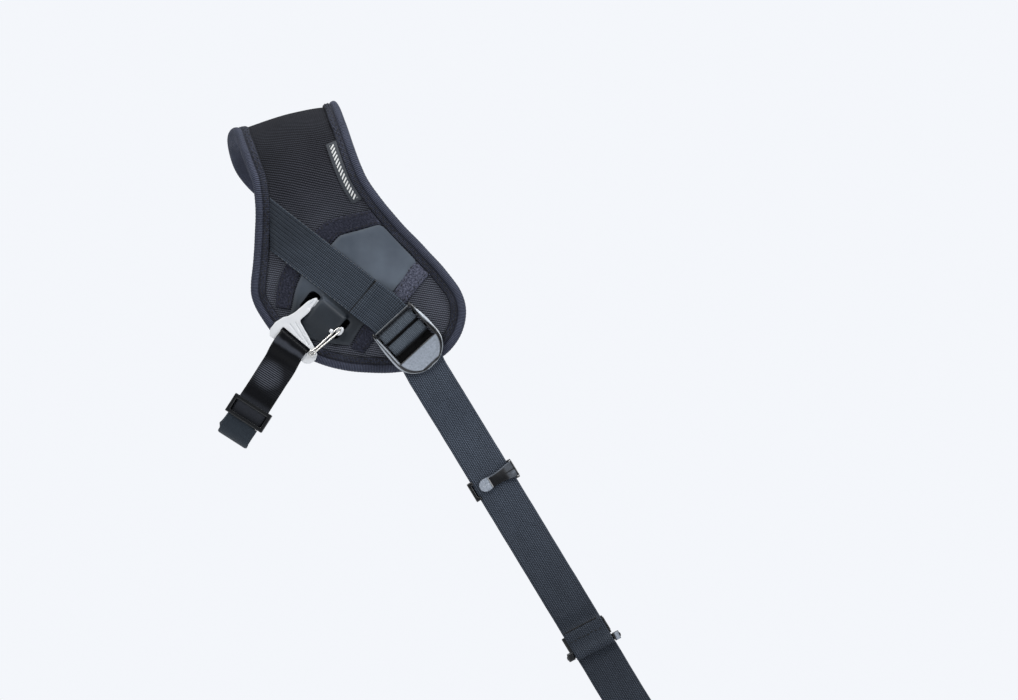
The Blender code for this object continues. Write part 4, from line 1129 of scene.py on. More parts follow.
def fuse(name, adds, cuts, material, voxel, smooth, finish=None):
    """One moulded body: parts joined, openings cut, all edges softened."""
    bm = bmesh.new()
    for ob in adds:
        bm.from_mesh(ob.data)
    joined = bpy.data.meshes.new(name)
    bm.to_mesh(joined)
    bm.free()
    body = link_object(name, joined)

    def remesh():
        modifier = body.modifiers.new("remesh", 'REMESH')
        modifier.mode = 'VOXEL'
        modifier.voxel_size = voxel * MM

    remesh()
    for cut in cuts:
        modifier = body.modifiers.new("cut", 'BOOLEAN')
        modifier.operation = 'DIFFERENCE'
        modifier.solver = 'EXACT'
        modifier.object = cut
    if cuts:
        remesh()
    if smooth:
        modifier = body.modifiers.new("smooth", 'SMOOTH')
        modifier.factor = 0.5
        modifier.iterations = smooth
    depsgraph = bpy.context.evaluated_depsgraph_get()
    mesh = bpy.data.meshes.new_from_object(body.evaluated_get(depsgraph))
    body.modifiers.clear()
    body.data = mesh
    bpy.data.meshes.remove(joined)
    mesh.materials.clear()
    mesh.materials.append(material)
    if finish:
        finish(mesh)
    mesh.shade_smooth()
    for ob in list(adds) + list(cuts):
        used = ob.data
        bpy.data.objects.remove(ob, do_unlink=True)
        if used.users == 0:
            bpy.data.meshes.remove(used)
    return body


def cast(name, cad_node, body, material, slot, voxel, smooth, adds=(), cuts=(), finish=None):
    """A softened body from a CAD node, with any added and cut shapes."""
    part = fuse(name, [from_cad(cad_node), *adds], list(cuts), MAT[material], voxel, smooth,
                finish)
    attach(part, body, slot, cad_node)


# =====================================================================
# the pad
# =====================================================================
RIM, RIM_S, RIM_L = even(spline_closed(OUTLINE, 8), 0.5)
RIM_IN = inward(RIM)
for _ in range(12):
    RIM_IN = (np.roll(RIM_IN, 1, 0) + RIM_IN * 2 + np.roll(RIM_IN, -1, 0)) / 4
    RIM_IN /= np.linalg.norm(RIM_IN, axis=1)[:, None]
COARSE_RIM = RIM[::6]
EDGE_IN = RIM + RIM_IN * 9.25   # just inside the binding


def right_edge(run):
    """(side, run) on the binding's inner edge, on the right."""
    return span_at(EDGE_IN, run)[1], run


def free_zone(side, run):
    """1 where the outer cloth is free to puff, 0 under patch and webbing."""
    past_webbing = (side + 19.0) * 0.8 - (run - 67.0) * 0.599
    return ramp(past_webbing, 1.0, 12.0) * ramp(run, 86.0, -12.0) * ramp(run, -104.0, 12.0)


def panel_height(side, run, rim_dist):
    free = free_zone(side, run)
    past_rim = np.clip(rim_dist - 8.6, 0, None)
    crown = 1.9 * (1 - decay(past_rim, 7.5)) * free
    pucker = (waves(run + side * 0.3, 3, (9.0, 6.3, 14.0), (0.16, 0.1, 0.12))
              * decay(np.clip(rim_dist - 9, 0, None), 5.0) * (0.35 + 0.65 * free))
    soft = waves(run, 11, (47.0, 29.0), (0.22, 0.16)) * waves(side, 12, (33.0,), (1.0,)) * free
    held = 0.25 * (1 - decay(past_rim, 4.0)) * (1 - free)
    return 8.05 + crown + pucker * 0.8 + soft + held


def pad_grid(inset, margins, start, spacing, shares):
    """Rows of (side, run) filling the pad inside an inset edge, with distances to the rim.

    margins are the runs of the end rows from either end; shares place points in a row.
    """
    curve = RIM + RIM_IN * inset
    low, high = curve[:, 1].min(), curve[:, 1].max()
    runs = np.concatenate([[low + m for m in margins],
                           np.arange(low + start, high - 2.0, spacing),
                           [high - m for m in margins[::-1]]])
    spans = [(run, *span_at(curve, run)) for run in runs]
    points = np.array([(a + (b - a) * t, run) for run, a, b in spans for t in shares])
    return points, dist_to(COARSE_RIM, points)


def pad_sheet(name, points, cols, top, bottom, material, attrs=None, flip=False):
    """Closed sheet over a pad grid; flip winds its faces the other way."""
    size = cols + 1
    rows = len(points) // size
    under = rows * size
    faces = []

    def add(a, b, c, d):
        faces.append((a, d, c, b) if flip else (a, b, c, d))

    for i in range(rows - 1):
        for j in range(cols):
            here, there = i * size + j, (i + 1) * size + j
            add(here, here + 1, there + 1, there)
            add(under + here, under + there, under + there + 1, under + here + 1)
        for j in (0, cols):
            here, there = i * size + j, (i + 1) * size + j
            add(here, there, under + there, under + here)
    for i in (0, rows - 1):
        for j in range(cols):
            here = i * size + j
            faces.append((here, here + 1, under + here + 1, under + here))
    uv = [(side, run) for side, run in points] * 2
    return make(name, lay(points, top) + lay(points, bottom), faces, material, uv, attrs)


def build_cushion():
    cols = 48
    # points gather a little towards the edges
    shares = (1 - np.cos(np.linspace(0, PI, cols + 1))) / 2
    shares = 0.45 * shares + 0.55 * np.linspace(0, 1, cols + 1)
    points, rim_dist = pad_grid(inset=7.4, margins=(0.1, 0.5, 1.2), start=2.2, spacing=1.9,
                                shares=shares)
    # pocket under the patch openings, painted in near-black shade through the 'dark' attribute
    along, across, _ = CLIP.local(np.array(lay(points, 8.2)))
    pocket = (ramp(along, 12.5, 3.0) * ramp(along, 33.5, -3.0)
              * ramp(across, -14.0, 3.0) * ramp(across, 21.5, -3.0) * (points[:, 1] > 60))
    top = panel_height(points[:, 0], points[:, 1], rim_dist) - 3.6 * pocket
    dark = np.concatenate([pocket, np.zeros(len(points))])
    cushion = pad_sheet("pad_cushion", points, cols, top, 1.5, MAT["cloth"], {"dark": dark})
    attach(cushion, "pad", "pad_cloth", "pad_outer_panel", "pad_foam_core")


def build_lining():
    """Mesh lining on the pad's underside."""
    cols = 26
    points, rim_dist = pad_grid(inset=7.0, margins=(0.2, 1.0), start=2.5, spacing=3.0,
                                shares=np.linspace(0, 1, cols + 1))
    face = (0.35 - 0.85 * (1 - decay(np.clip(rim_dist - 8.5, 0, None), 6.0))
            + waves(points[:, 1], 21, (17.0, 31.0), (0.08, 0.1))
            * waves(points[:, 0], 22, (21.0,), (1.0,)))
    lining = pad_sheet("pad_mesh_lining", points, cols, face, 1.1, MAT["lining"], flip=True)
    attach(lining, "pad", "lining", "pad_lining")


build_cushion()
build_lining()

# Edge binding section as (distance in from the rim, height out): a flat sewn band inside,
# a rolled ribbed edge outside.
BINDING = [
    (9.0, 8.75), (8.95, 9.2), (8.5, 9.5), (7.6, 9.68), (6.5, 9.72), (5.6, 9.64), (5.1, 9.5),
    (4.8, 9.4), (4.5, 9.5), (4.1, 9.8), (3.3, 10.15), (2.3, 10.25), (1.35, 9.85), (0.6, 9.0),
    (0.15, 7.7), (-0.05, 6.0), (-0.1, 4.0), (0.0, 2.0), (0.3, 0.4), (1.0, -0.75), (2.3, -1.3),
    (4.4, -1.4), (6.6, -1.25), (8.4, -1.05), (8.95, -0.8), (9.0, -0.4), (8.3, -0.2),
    (3.0, 0.1), (2.2, 0.9), (2.2, 7.7), (3.0, 8.3), (8.2, 8.45)]


def build_binding():
    rise = waves(RIM_S, 31, (RIM_L / 31, RIM_L / 17, RIM_L / 53), (0.13, 0.16, 0.07))
    shift = waves(RIM_S, 32, (RIM_L / 23, RIM_L / 41), (0.16, 0.1))
    rib_count = int(round(RIM_L / 2.0))
    rib = 0.17 * np.abs(np.sin(PI * RIM_S / RIM_L * rib_count)) ** 0.8
    verts, uvs = [], []
    for i in range(len(RIM)):
        for d, n in BINDING:
            inset, out = d, n
            if 0.2 < d < 4.3 and n > 7 or d <= 0.2 or (d < 4 and n < 0):
                # ribs push out along the roll's own normal
                push_in, push_out = d - 2.2, (n - 5.0) * 0.55
                size = math.hypot(push_in, push_out)
                inset += push_in / size * rib[i]
                out += push_out / size * rib[i]
            out += rise[i] * (1.0 if out > 5 else 0.3)
            inset += shift[i] * (1.0 if d > 5 else 0.4)
            side, run = RIM[i] + RIM_IN[i] * inset
            verts.append(on_pad(side, run, out))
            uvs.append((RIM_S[i], d if n > 4 else -d - 2.0))
    binding = make("pad_binding", verts, skin(len(RIM), len(BINDING), closed=True),
                   MAT["binding"], uvs)
    attach(binding, "pad", "binding", "pad_edge_binding")


def stitch_binding():
    """Two lines of lock stitch, slightly zigzagged."""
    height = 9.78
    stitches = []
    count = int(RIM_L / 3.4)
    for i in range(count):
        for row, (inset, jitter) in enumerate(((7.5, 0.45), (5.9, 0.25))):
            a = int((i + 0.5 * row) / count * len(RIM)) % len(RIM)
            zigzag = jitter * (1 if i % 2 else -1)
            stride = RIM[(a + 4) % len(RIM)] - RIM[a]
            side, run = RIM[a] + RIM_IN[a] * inset
            start = on_pad(side, run, height)
            end = on_pad(*(RIM[a] + RIM_IN[a] * (inset + zigzag) + stride), height)
            stitches.append(((start + end) / 2, end - start, pad_normal(run)))
    sew("binding_stitches", stitches, "thread", "pad", "binding", length=2.3, radius=0.24)


build_binding()
stitch_binding()

# ---------------------------------------------------------------- rubber patch
# Patch outline as (side, run): its upper edge, then its lower and left edges. Between them it
# follows the binding at PATCH_RIM_RUNS.
PATCH_UPPER = [(8.5, 101.0), (14.0, 97.5), (27.0, 97.6), (38.5, 97.4)]
PATCH_RIM_RUNS = (101.0, 106.0, 111.0, 116.0, 120.5, 124.4)
PATCH_LOWER = [(35.0, 138.3), (12.5, 152.8), (2.5, 162.0), (-12.0, 156.5), (-23.5, 149.5),
               (-30.5, 139.0), (-25.0, 132.0), (-20.0, 122.0), (-13.0, 113.0)]
# Openings as (along, across) on the carabiner's axes, with their corner radii.
PATCH_OPENINGS = [
    ([(16.2, -11.4), (30.0, -12.0), (30.6, -4.3), (15.9, -4.3)], 3.0),
    ([(15.9, 14.9), (30.2, 14.9), (29.8, 18.4), (16.4, 18.4)], 1.7)]
PATCH_GRID = 1.15


def clip_to_pattern(along, across):
    side, run = pattern_of(np.array([CLIP.at(along, across, 0)]))
    return float(side[0]), float(run[0])


def build_patch():
    corners = PATCH_UPPER + [right_edge(run) for run in PATCH_RIM_RUNS] + PATCH_LOWER
    outer = even(rounded(corners, 1.6), 1.0)[0]
    holes = [np.array([clip_to_pattern(*p) for p in even(rounded(points, radius), 0.8)[0]])
             for points, radius in PATCH_OPENINGS]
    xs = np.arange(outer[:, 0].min(), outer[:, 0].max(), PATCH_GRID)
    ys = np.arange(outer[:, 1].min(), outer[:, 1].max(), PATCH_GRID)
    grid = np.array([(x + (0.55 if i % 2 else 0), y) for i, y in enumerate(ys) for x in xs])
    keep = inside(outer, grid) & (dist_to(outer, grid) > 0.7)
    for hole in holes:
        keep &= ~inside(hole, grid) & (dist_to(hole, grid) > 0.6)
    loops = [outer] + holes
    edges = []
    first = 0
    for loop in loops:
        size = len(loop)
        edges += [(first + i, first + (i + 1) % size) for i in range(size)]
        first += size
    flat = np.vstack(loops + [grid[keep]])
    found, _, triangles, *_ = delaunay_2d_cdt([Vector(p) for p in flat], edges, [], 0, 1e-6)
    flat = np.array([tuple(v) for v in found])
    triangles = np.array([list(f) for f in triangles])
    middles = flat[triangles].mean(axis=1)
    wanted = inside(outer, middles)
    for hole in holes:
        wanted &= ~inside(hole, middles)
    triangles = triangles[wanted]

    # the bridge between the openings stands proud
    along, across, _ = CLIP.local(np.array(lay(flat, 0)))
    span = ramp(across, -4.9, 0.9) * ramp(across, 15.6, -0.9)
    rise = ramp(along, 9.0, 12.0) * ramp(along, 32.6, -4.0) * span
    edge_dist = dist_to(outer, flat)
    hole_dist = np.minimum(dist_to(holes[0], flat), dist_to(holes[1], flat))
    soft = waves(flat[:, 0] + flat[:, 1] * 0.4, 41, (37.0, 22.0), (0.14, 0.1))
    top = (9.9 - 0.3 * decay(edge_dist, 0.4) - 0.2 * decay(hole_dist, 0.5)
           + soft * ease(edge_dist / 8.0) + 4.2 * rise)
    bottom = np.minimum(np.where(rise > 0.02, top - 1.0, 8.6), top - 0.6)

    count = len(flat)
    faces = [tuple(f) for f in triangles]
    faces += [tuple(int(v) + count for v in f[::-1]) for f in triangles]
    directed = dict.fromkeys((int(f[i]), int(f[(i + 1) % 3])) for f in triangles for i in range(3))
    faces += [(j, i, i + count, j + count) for i, j in directed if (j, i) not in directed]
    patch = make("anchor_patch_rubber", lay(flat, top) + lay(flat, bottom), faces,
                 MAT["rubber"], sharp=60)
    attach(patch, "pad", "anchor_rubber", "anchor_patch")


build_patch()


# ------------------------------------------------------------------ tapes
def build_tape(name, pairs, cad_node, seed):
    """Felt tape on the pad between two edges, given as pairs of (side, run) points."""
    edge_a = spline_open([pair[0] for pair in pairs], 12)
    edge_b = spline_open([pair[1] for pair in pairs], 12)
    lengths = arc_lengths((edge_a + edge_b) / 2)
    count = int(lengths[-1] / 0.9)
    places = np.linspace(0, lengths[-1], count + 1)
    edge_a = interp_columns(places, lengths, edge_a)
    edge_b = interp_columns(places, lengths, edge_b)
    cols = 11
    rng = np.random.default_rng(seed)
    rows = []
    for place, a, b in zip(places, edge_a, edge_b):
        width = np.linalg.norm(b - a)
        top, bottom, uv = [], [], []
        for j in range(cols + 1):
            t = j / cols
            edge = min(t, 1 - t) * width
            side, run = a + (b - a) * t
            height = (9.95 - 0.55 * decay(edge, 0.45) + 0.10 * (rng.random() - 0.5)
                      - 0.28 * bell(edge, 1.5, 0.45))
            top.append(on_pad(side, run, height))
            bottom.append(on_pad(side, run, 8.55))
            uv.append((place, t * width))
        rows.append((top, bottom, uv))
    verts, faces, uvs = slab(rows)
    attach(make(name, verts, faces, MAT["felt"], uvs), "pad", "tape", cad_node)

    stitches = []
    for place in spaced(1.5, places[-1] - 1.5, 3.1):
        i = int(place / places[-1] * count)
        for near, far in ((edge_a, edge_b), (edge_b, edge_a)):
            over = far[i] - near[i]
            inset = 1.5 + 0.5 * (rng.random() - 0.5)
            side, run = near[i] + over / np.linalg.norm(over) * inset
            stride = near[min(i + 1, count)] - near[max(i - 1, 0)]
            middle = on_pad(side, run, 9.68)
            heading = on_pad(side + stride[0], run + stride[1], 9.68) - middle
            skew = (rng.random() - 0.5) * 0.5 * (PAD_SIDE * over[0])
            stitches.append((middle, heading + skew, pad_normal(run)))
    sew(name + "_stitches", stitches, "thread", "pad", "tape", length=2.1, radius=0.25)


build_tape("tape_upper", [
    ((-34.0, 128.5), (-26.0, 131.7)), ((-29.2, 116.5), (-20.7, 121.5)),
    ((-21.4, 106.0), (-13.6, 112.5)), ((-7.0, 95.5), (-1.0, 104.8)),
    ((1.6, 90.8), (8.2, 100.2)), ((9.5, 87.3), (14.0, 97.1)),
    ((18.1, 87.0), (26.0, 97.0)), ((28.0, 87.4), (33.5, 97.0)),
    (right_edge(87.8), right_edge(97.2))], "patch_tape_upper", seed=5)
build_tape("tape_lower", [
    (right_edge(125.0), right_edge(134.8)), ((50.0, 125.2), (58.0, 134.5)),
    ((35.5, 138.8), (41.3, 146.0)), ((13.0, 153.3), (17.5, 162.5)),
    ((3.0, 163.6), (9.0, 168.5))], "patch_tape_lower", seed=6)

# ------------------------------------------------------- webbing sewn on the pad
# It runs down to the right across the pad, goes up round the upper buckle bar and back under.
DIAG = unit((0.789, 0, -0.614))
DIAG_ACROSS = unit((0.614, 0, 0.789))
ANCHOR = on_pad(-19.0, 67.0, 9.4) - DIAG_ACROSS * HALF_WEB
ANCHOR[1] = Y_BACK
LOW_LAYER = 10.1 + WEB_T / 2
HIGH_LAYER = LOW_LAYER + WEB_T + GAP


def over_pad(target, out):
    """The point in line with target along y, at a height over the pad, and its run."""
    guess = np.asarray(target, float).copy()
    for _ in range(5):
        side, run = pattern_of(np.array([guess]))
        point = on_pad(float(side[0]), float(run[0]), out)
        miss = target - point
        miss[1] = 0.0
        guess = guess + miss
    return point, float(run[0])


def anchor_across(along):
    return lerp(DIAG_ACROSS, BUCKLE.across, max(0.0, (along - 67.0) / 30.0))


def anchor_rows():
    rows = []
    for along, out in ((-1.6, 9.0), (0.3, 9.9), (2.6, LOW_LAYER - 0.1), (12.0, LOW_LAYER),
                       (24.0, LOW_LAYER), (33.0, LOW_LAYER)):
        centre = ANCHOR + DIAG * along
        upper = over_pad(centre + DIAG_ACROSS * HALF_WEB, out)[0]
        lower = over_pad(centre - DIAG_ACROSS * HALF_WEB, out)[0]
        middle, run = over_pad(centre, out)
        rows.append((middle, upper - lower, pad_normal(run)))
    for along, out in ((42.0, LOW_LAYER), (62.0, LOW_LAYER), (77.0, LOW_LAYER),
                       (78.2, LOW_LAYER + 0.05), (79.1, HIGH_LAYER + 0.1),
                       (86.0, HIGH_LAYER + 0.1)):
        rows.append((ANCHOR + DIAG * along + BUCKLE.out * out, anchor_across(along), REAR))
    path = [(-1.5, HIGH_LAYER + 0.1), (0.8, HIGH_LAYER + 0.1), (2.3, HIGH_LAYER + 0.5)]
    path += arc(UPPER_BAR, BAR_OUT, LOOP_R, start=195, end=90, count=7)
    path += arc(UPPER_BAR + 1.3, BAR_OUT, LOOP_R, start=86, end=-90, count=9)
    path += [(3.5, LOW_LAYER + 0.35), (0.5, LOW_LAYER), (-5.0, LOW_LAYER), (-11.0, LOW_LAYER)]
    rows += ribbon_rows(BUCKLE, path)
    centre, across, normal = rows[-1]
    rows[-1] = (centre - across * 0.4, lerp(across, DIAG_ACROSS, 0.3), normal)
    return rows


def shade_anchor(points):
    """Deep shade where the webbing dips under the rim and between the bars."""
    along, _, out = BUCKLE.local(points)
    under_rim = ramp(along, 1.6, 0.8) * ramp(along, 5.0, -2.8)
    return (under_rim + ramp(along, 8.6, 1.3) * (out < 16.4)).clip(0, 1) * (along > 0)


def slant_end(mesh):
    """Cut the end along the binding: it runs 19 mm further on one side."""
    points = read_points(mesh)
    offset = points - ANCHOR
    along, across = offset @ DIAG, offset @ DIAG_ACROSS
    end = 10.1 - 0.76 * across.clip(-12.7, 12.7)
    moved = np.where(along < 42.0, 42.0 - (42.0 - along) * (42.0 - end) / 41.4, along)
    curve = np.array([profile(run) for run in np.arange(45.0, 130.0, 1.0)])

    def pad_y(at):
        return np.interp(-(at @ PAD_UP), -curve[:, 1], curve[:, 0])

    shifted = points + np.outer(moved - along, DIAG)
    shifted[:, 1] += pad_y(shifted) - pad_y(points)
    write_points(mesh, shifted)
    uv = np.zeros(len(mesh.loops) * 2, dtype=np.float32)
    mesh.uv_layers[0].data.foreach_get("uv", uv)
    uv[0::2] += (moved - along)[loop_vertices(mesh)]
    mesh.uv_layers[0].data.foreach_set("uv", uv)


def build_anchor():
    pitch = 2.273
    rows = anchor_rows()
    to_seam = sum(float(np.linalg.norm(rows[i + 1][0] - rows[i][0])) for i in range(9))
    material = mat_ribbed("webbing_ribbed", dark=(0.0012, 0.0017, 0.0025),
                          light=(0.072, 0.092, 0.122), pitch=pitch, seam_at=to_seam + 0.3)
    anchor = band("anchor_webbing", rows, material, step=0.8, cols=66, wander=0.05, seed=8,
                  rib=web_ribs(0.2, pitch), shade=shade_anchor)
    slant_end(anchor.data)
    show_fine_face(anchor, above=14.6, start=1.0)
    attach(anchor, "pad", "webbing", "rear_anchor_webbing")


def stitch_anchor():
    # both edges; the lower one starts further along
    stitches = []
    for sign in (1, -1):
        for along in spaced(6.0, 84.0, 3.0):
            if along <= 22 and sign < 0:
                continue
            layer = LOW_LAYER if along < 78.5 else HIGH_LAYER + 0.1
            out = layer + WEB_T / 2 + 0.06
            across = unit(anchor_across(along))
            middle = ANCHOR + DIAG * along + BUCKLE.out * out + across * (sign * 12.0)
            if along < 38:
                middle = over_pad(middle, out)[0]
            stitches.append((middle, DIAG + across * 0.15 * sign, REAR))
    sew("anchor_edge_stitches", stitches, "thread_pale", "pad", "webbing",
        length=1.7, radius=0.2)
    # two rows across: name, along, layer height, turn towards the buckle, places, normal, size
    for name, along, out, turn, places, normal, length, radius in (
            ("anchor_cross_seam", 78.3, LOW_LAYER + WEB_T / 2 + 0.3, 0.37,
             (-11.5, 11.6, 1.75), unit(REAR - DIAG * 0.6), 2.0, 0.36),
            ("anchor_hold_stitches", 83.0, HIGH_LAYER + 0.1 + WEB_T / 2 + 0.08, 0.53,
             (-10.5, 10.6, 2.6), REAR, 1.6, 0.18)):
        across = unit(lerp(DIAG_ACROSS, BUCKLE.across, turn))
        centre = ANCHOR + DIAG * along + BUCKLE.out * out
        stitches = [(centre + across * w, across, normal) for w in spaced(*places)]
        sew(name, stitches, "thread", "pad", "webbing", length, radius)


build_anchor()
stitch_anchor()


# ------------------------------------------------------------------- label
def build_label():
    """Label lying along the pad's right binding."""
    edge = RIM + RIM_IN * 9.3
    count, cols = 60, 12
    rows = []
    for i in range(count + 1):
        row_run = 46.2 + 34.6 * i / count
        right = span_at(edge, row_run)[1] + 0.8
        left = right - LABEL_W
        top, bottom, uv = [], [], []
        for j in range(cols + 1):
            t = j / cols
            side = left + (right - left) * t
            run = row_run + 0.8 * (1 - t) - 0.8 * t
            puff = 1.95 * free_zone(side, run) * (1 - decay((1 - t) * LABEL_W + 0.4, 7.5))
            height = 8.05 + puff + 0.85 + 0.18 * math.sin(PI * t)
            height -= 0.25 * decay(min(t, 1 - t) * LABEL_W, 0.25)
            top.append(on_pad(side, run, height))
            bottom.append(on_pad(side, run, height - 0.75))
            uv.append((i / count * LABEL_L, (t - 0.5) * LABEL_W))
        rows.append((top, bottom, uv))
    verts, faces, uvs = slab(rows)
    label = make("side_label", verts, faces, MAT["label"], uvs, sharp=50)
    attach(label, "pad", "label", "label_tag")


build_label()

# =====================================================================
# main webbing
# =====================================================================
STANDING_OUT = 10.3 + WEB_T / 2            # lower layer at the buckle
TAIL_OUT = STANDING_OUT + WEB_T + GAP      # upper layer at the buckle
HANG_OUT = 2.0                             # lower layer where it hangs down the back


def standing_out(along):
    return lerp(STANDING_OUT, HANG_OUT, ramp(along, 2.0, 34.0))


def tail_out(along):
    return standing_out(along) + WEB_T + GAP + 0.1 * ramp(along, 2, 10.0)


def leaving_rows(stations, out, turn_start, turn_length):
    """Rows leaving the buckle, turning from its axes to the hanging webbing's."""
    rows = []
    for along in stations:
        t = ramp(along, turn_start, turn_length)
        centre = BUCKLE.at(along, 0, out)
        reach = float(np.dot(centre - BACK.origin, BACK.along))
        rows.append((lerp(centre, BACK.at(reach, 0, out), t),
                     lerp(BUCKLE.across, BACK.across, t), REAR))
    return rows


def back_rows(stations, out_at):
    rows = []
    for along in stations:
        slope = out_at(along + 0.5) - out_at(along - 0.5)
        rows.append((BACK.at(along, 0, out_at(along)), BACK.across,
                     BACK.out - BACK.along * slope))
    return rows


def shade_wrap(points):
    """Deep shade below the lower bar and between the bars."""
    along, _, out = BUCKLE.local(points)
    below = ramp(along, 17.6, 2.4) * ramp(along, 25.4, -0.6)
    return (below + ramp(along, 13.1, -1.3) * (along > 8) * (out < 16.4)).clip(0, 1)


def build_wrap():
    """The turn over the lower bar, with the first stretch of both layers."""
    rows = back_rows((14.0, 8.0, 2.0, -6.0), standing_out)
    rows += leaving_rows((31.0, 25.0, 20.0), STANDING_OUT, turn_start=17.0, turn_length=18.0)
    # the lower run's own normal faces the pad
    rows = [(centre, across, -normal) for centre, across, normal in rows]
    path = arc(LOWER_BAR - 2.3, BAR_OUT, LOOP_R, start=262, end=90, count=10)[1:]
    path += arc(LOWER_BAR, BAR_OUT, LOOP_R, start=86, end=0, count=6)
    path += [(LOWER_BAR + LOOP_R + 0.3, BAR_OUT - 0.8), (20.6, TAIL_OUT + 0.35),
             (22.4, TAIL_OUT)]
    rows += ribbon_rows(BUCKLE, path)
    rows += leaving_rows((25.0, 27.0, 31.0), TAIL_OUT, turn_start=23.2, turn_length=12.0)
    rows += back_rows((-6.0, 2.0, 8.0, 14.0), tail_out)
    wrap = band("webbing_over_lower_bar", rows, MAT["web"], step=0.8, cols=44, wander=0.04,
                seed=14, rib=web_ribs(0.12, 1.25), shade=shade_wrap)
    show_fine_face(wrap, above=13.0, end=20.5)
    attach_between(wrap, "ladder_webbing_wrap",
                   start=BUCKLE.at(20.0, 0, 14), end=BACK.at(13.0, 0, 14))


build_wrap()


def hip_point(along, y, across):
    point = BACK.at(along, across, 0)
    point[1] = y
    return point


# The front end lies on the pad's front, from SEAM_END in to SEAM_START.
FRONT_OUT = 9.7 + WEB_T / 2
SEAM_END = on_pad(25.0, -156.0, FRONT_OUT)
SEAM_START = on_pad(18.5, -120.0, FRONT_OUT)
SEAM_ALONG = unit(SEAM_END - SEAM_START)
SEAM_OUT = pad_normal(-156.0)
SEAM_ACROSS = np.cross(SEAM_ALONG, SEAM_OUT)
if np.dot(SEAM_ACROSS, BACK.across) < 0:
    SEAM_ACROSS = -SEAM_ACROSS


def build_main():
    """Down the back, forward round the hip and up to the pad's front end."""
    rear_turn_y = Y_BACK - HANG_OUT + HIP_R
    front_turn_y = FRONT_Y - HIP_R
    turn_steps, front_top = 9, 6.0
    rows = back_rows((14.0, 20.0, 26.0, 32.0, 38.0, 80.0, 120.0, 160.0, 210.0, 260.0, 300.0),
                     standing_out)
    angles = [math.radians(90.0 * i / turn_steps) for i in range(turn_steps + 1)]
    for angle in angles:
        sin, cos = math.sin(angle), math.cos(angle)
        rows.append((hip_point(HIP_TURN + HIP_R * sin, rear_turn_y - HIP_R * cos, 0.0),
                     BACK.across, BACK.along * sin + REAR * cos))
    for i, angle in enumerate(angles):
        sin, cos = math.sin(angle), math.cos(angle)
        shift = HIP_SIDE * ease((i + 1) / (turn_steps + 1))
        rows.append((hip_point(HIP_TURN + HIP_R * cos, front_turn_y + HIP_R * sin, shift),
                     BACK.across, BACK.along * cos + FORWARD * sin))
    for along in (280.0, 220.0, 150.0, 80.0, front_top):
        rows.append((hip_point(along, FRONT_Y, HIP_SIDE), BACK.across, FORWARD))
    # free curve onto the pad
    start = hip_point(front_top, FRONT_Y, HIP_SIDE)
    end = SEAM_END + SEAM_ALONG * 4.0
    start_dir, end_dir = -BACK.along, -SEAM_ALONG
    span = float(np.linalg.norm(end - start))
    for i in range(1, 10):
        t = i / 9.0
        heading = unit((6 * t * t - 6 * t) * start + (3 * t * t - 4 * t + 1) * span * start_dir
                       + (-6 * t * t + 6 * t) * end + (3 * t * t - 2 * t) * span * end_dir)
        across = unit(lerp(BACK.across, SEAM_ACROSS, ease(t)))
        across = unit(across - heading * np.dot(across, heading))
        normal = np.cross(heading, across)
        if np.dot(normal, vec(0, 1, 0.2)) < 0:
            normal = -normal
        rows.append((hermite(t, span, start, start_dir, end, end_dir), across, normal))
    rows.append((SEAM_END - SEAM_ALONG * 6.0, SEAM_ACROSS, SEAM_OUT))
    rows.append((SEAM_START, SEAM_ACROSS, SEAM_OUT))
    main = band("main_webbing_run", rows, MAT["web"], step=2.0, cols=30, wander=0.10, seed=15)
    attach(main, "pad", "webbing", "main_webbing")


def stitch_front_box():
    """A crossed box of stitches where the front end is sewn down."""
    def seam_point(t, across):
        return (lerp(SEAM_START, SEAM_END - SEAM_ALONG * 6, t) + SEAM_ACROSS * across
                + SEAM_OUT * (WEB_T / 2 + 0.1))

    stitches = [(seam_point(k / 12.0, sign * 10.6), SEAM_ALONG, SEAM_OUT)
                for k in range(13) for sign in (1, -1)]
    stitches += [(seam_point(t, -10.2 + 20.4 * k / 7.0), SEAM_ACROSS, SEAM_OUT)
                 for k in range(8) for t in (0.06, 0.94)]
    for k in range(12):
        t = (k + 0.5) / 12.0
        for sign in (1, -1):
            stitches.append((seam_point(0.06 + 0.88 * t, sign * (-9.6 + 19.2 * t)),
                             SEAM_ALONG * 26 + SEAM_ACROSS * (sign * 19.2), SEAM_OUT))
    sew("front_box_stitch", stitches, "thread", "pad", "webbing", length=2.0, radius=0.24)


def build_reinforcement():
    """Felt reinforcement under the front end."""
    edge = RIM + RIM_IN * 8.9
    count, cols, length = 40, 16, 33.8
    rng = np.random.default_rng(9)
    rows = []
    for i in range(count + 1):
        run = -107.6 - length * i / count
        left, right = span_at(edge, run)
        end_dist = min(i, count - i) / count * length
        points = [(left + (right - left) * j / cols, run) for j in range(cols + 1)]
        heights = [9.45 - 0.3 * decay(end_dist, 0.6) + 0.06 * rng.random() for _ in points]
        rows.append((lay(points, heights), lay(points, 8.4), points))
    verts, faces, uvs = slab(rows)
    tape = make("front_reinforcement_tape", verts, faces, MAT["felt"], uvs, sharp=60)
    attach(tape, "pad", "tape", "front_reinforcement")


build_main()
stitch_front_box()
build_reinforcement()

# ------------------------------------------------------------- adjusting tail
RETURN_OUT = HANG_OUT + WEB_T + GAP + 0.1     # layer that comes back from the slide
OUTER_OUT = RETURN_OUT + WEB_T + GAP
SLIDE_LOOP = 1.1 + 0.35 + WEB_T / 2           # bar radius, clearance, half the webbing
SLIDE_OUT = RETURN_OUT + SLIDE_LOOP
TAIL_ACROSS = BACK.across + BACK.along * 0.08


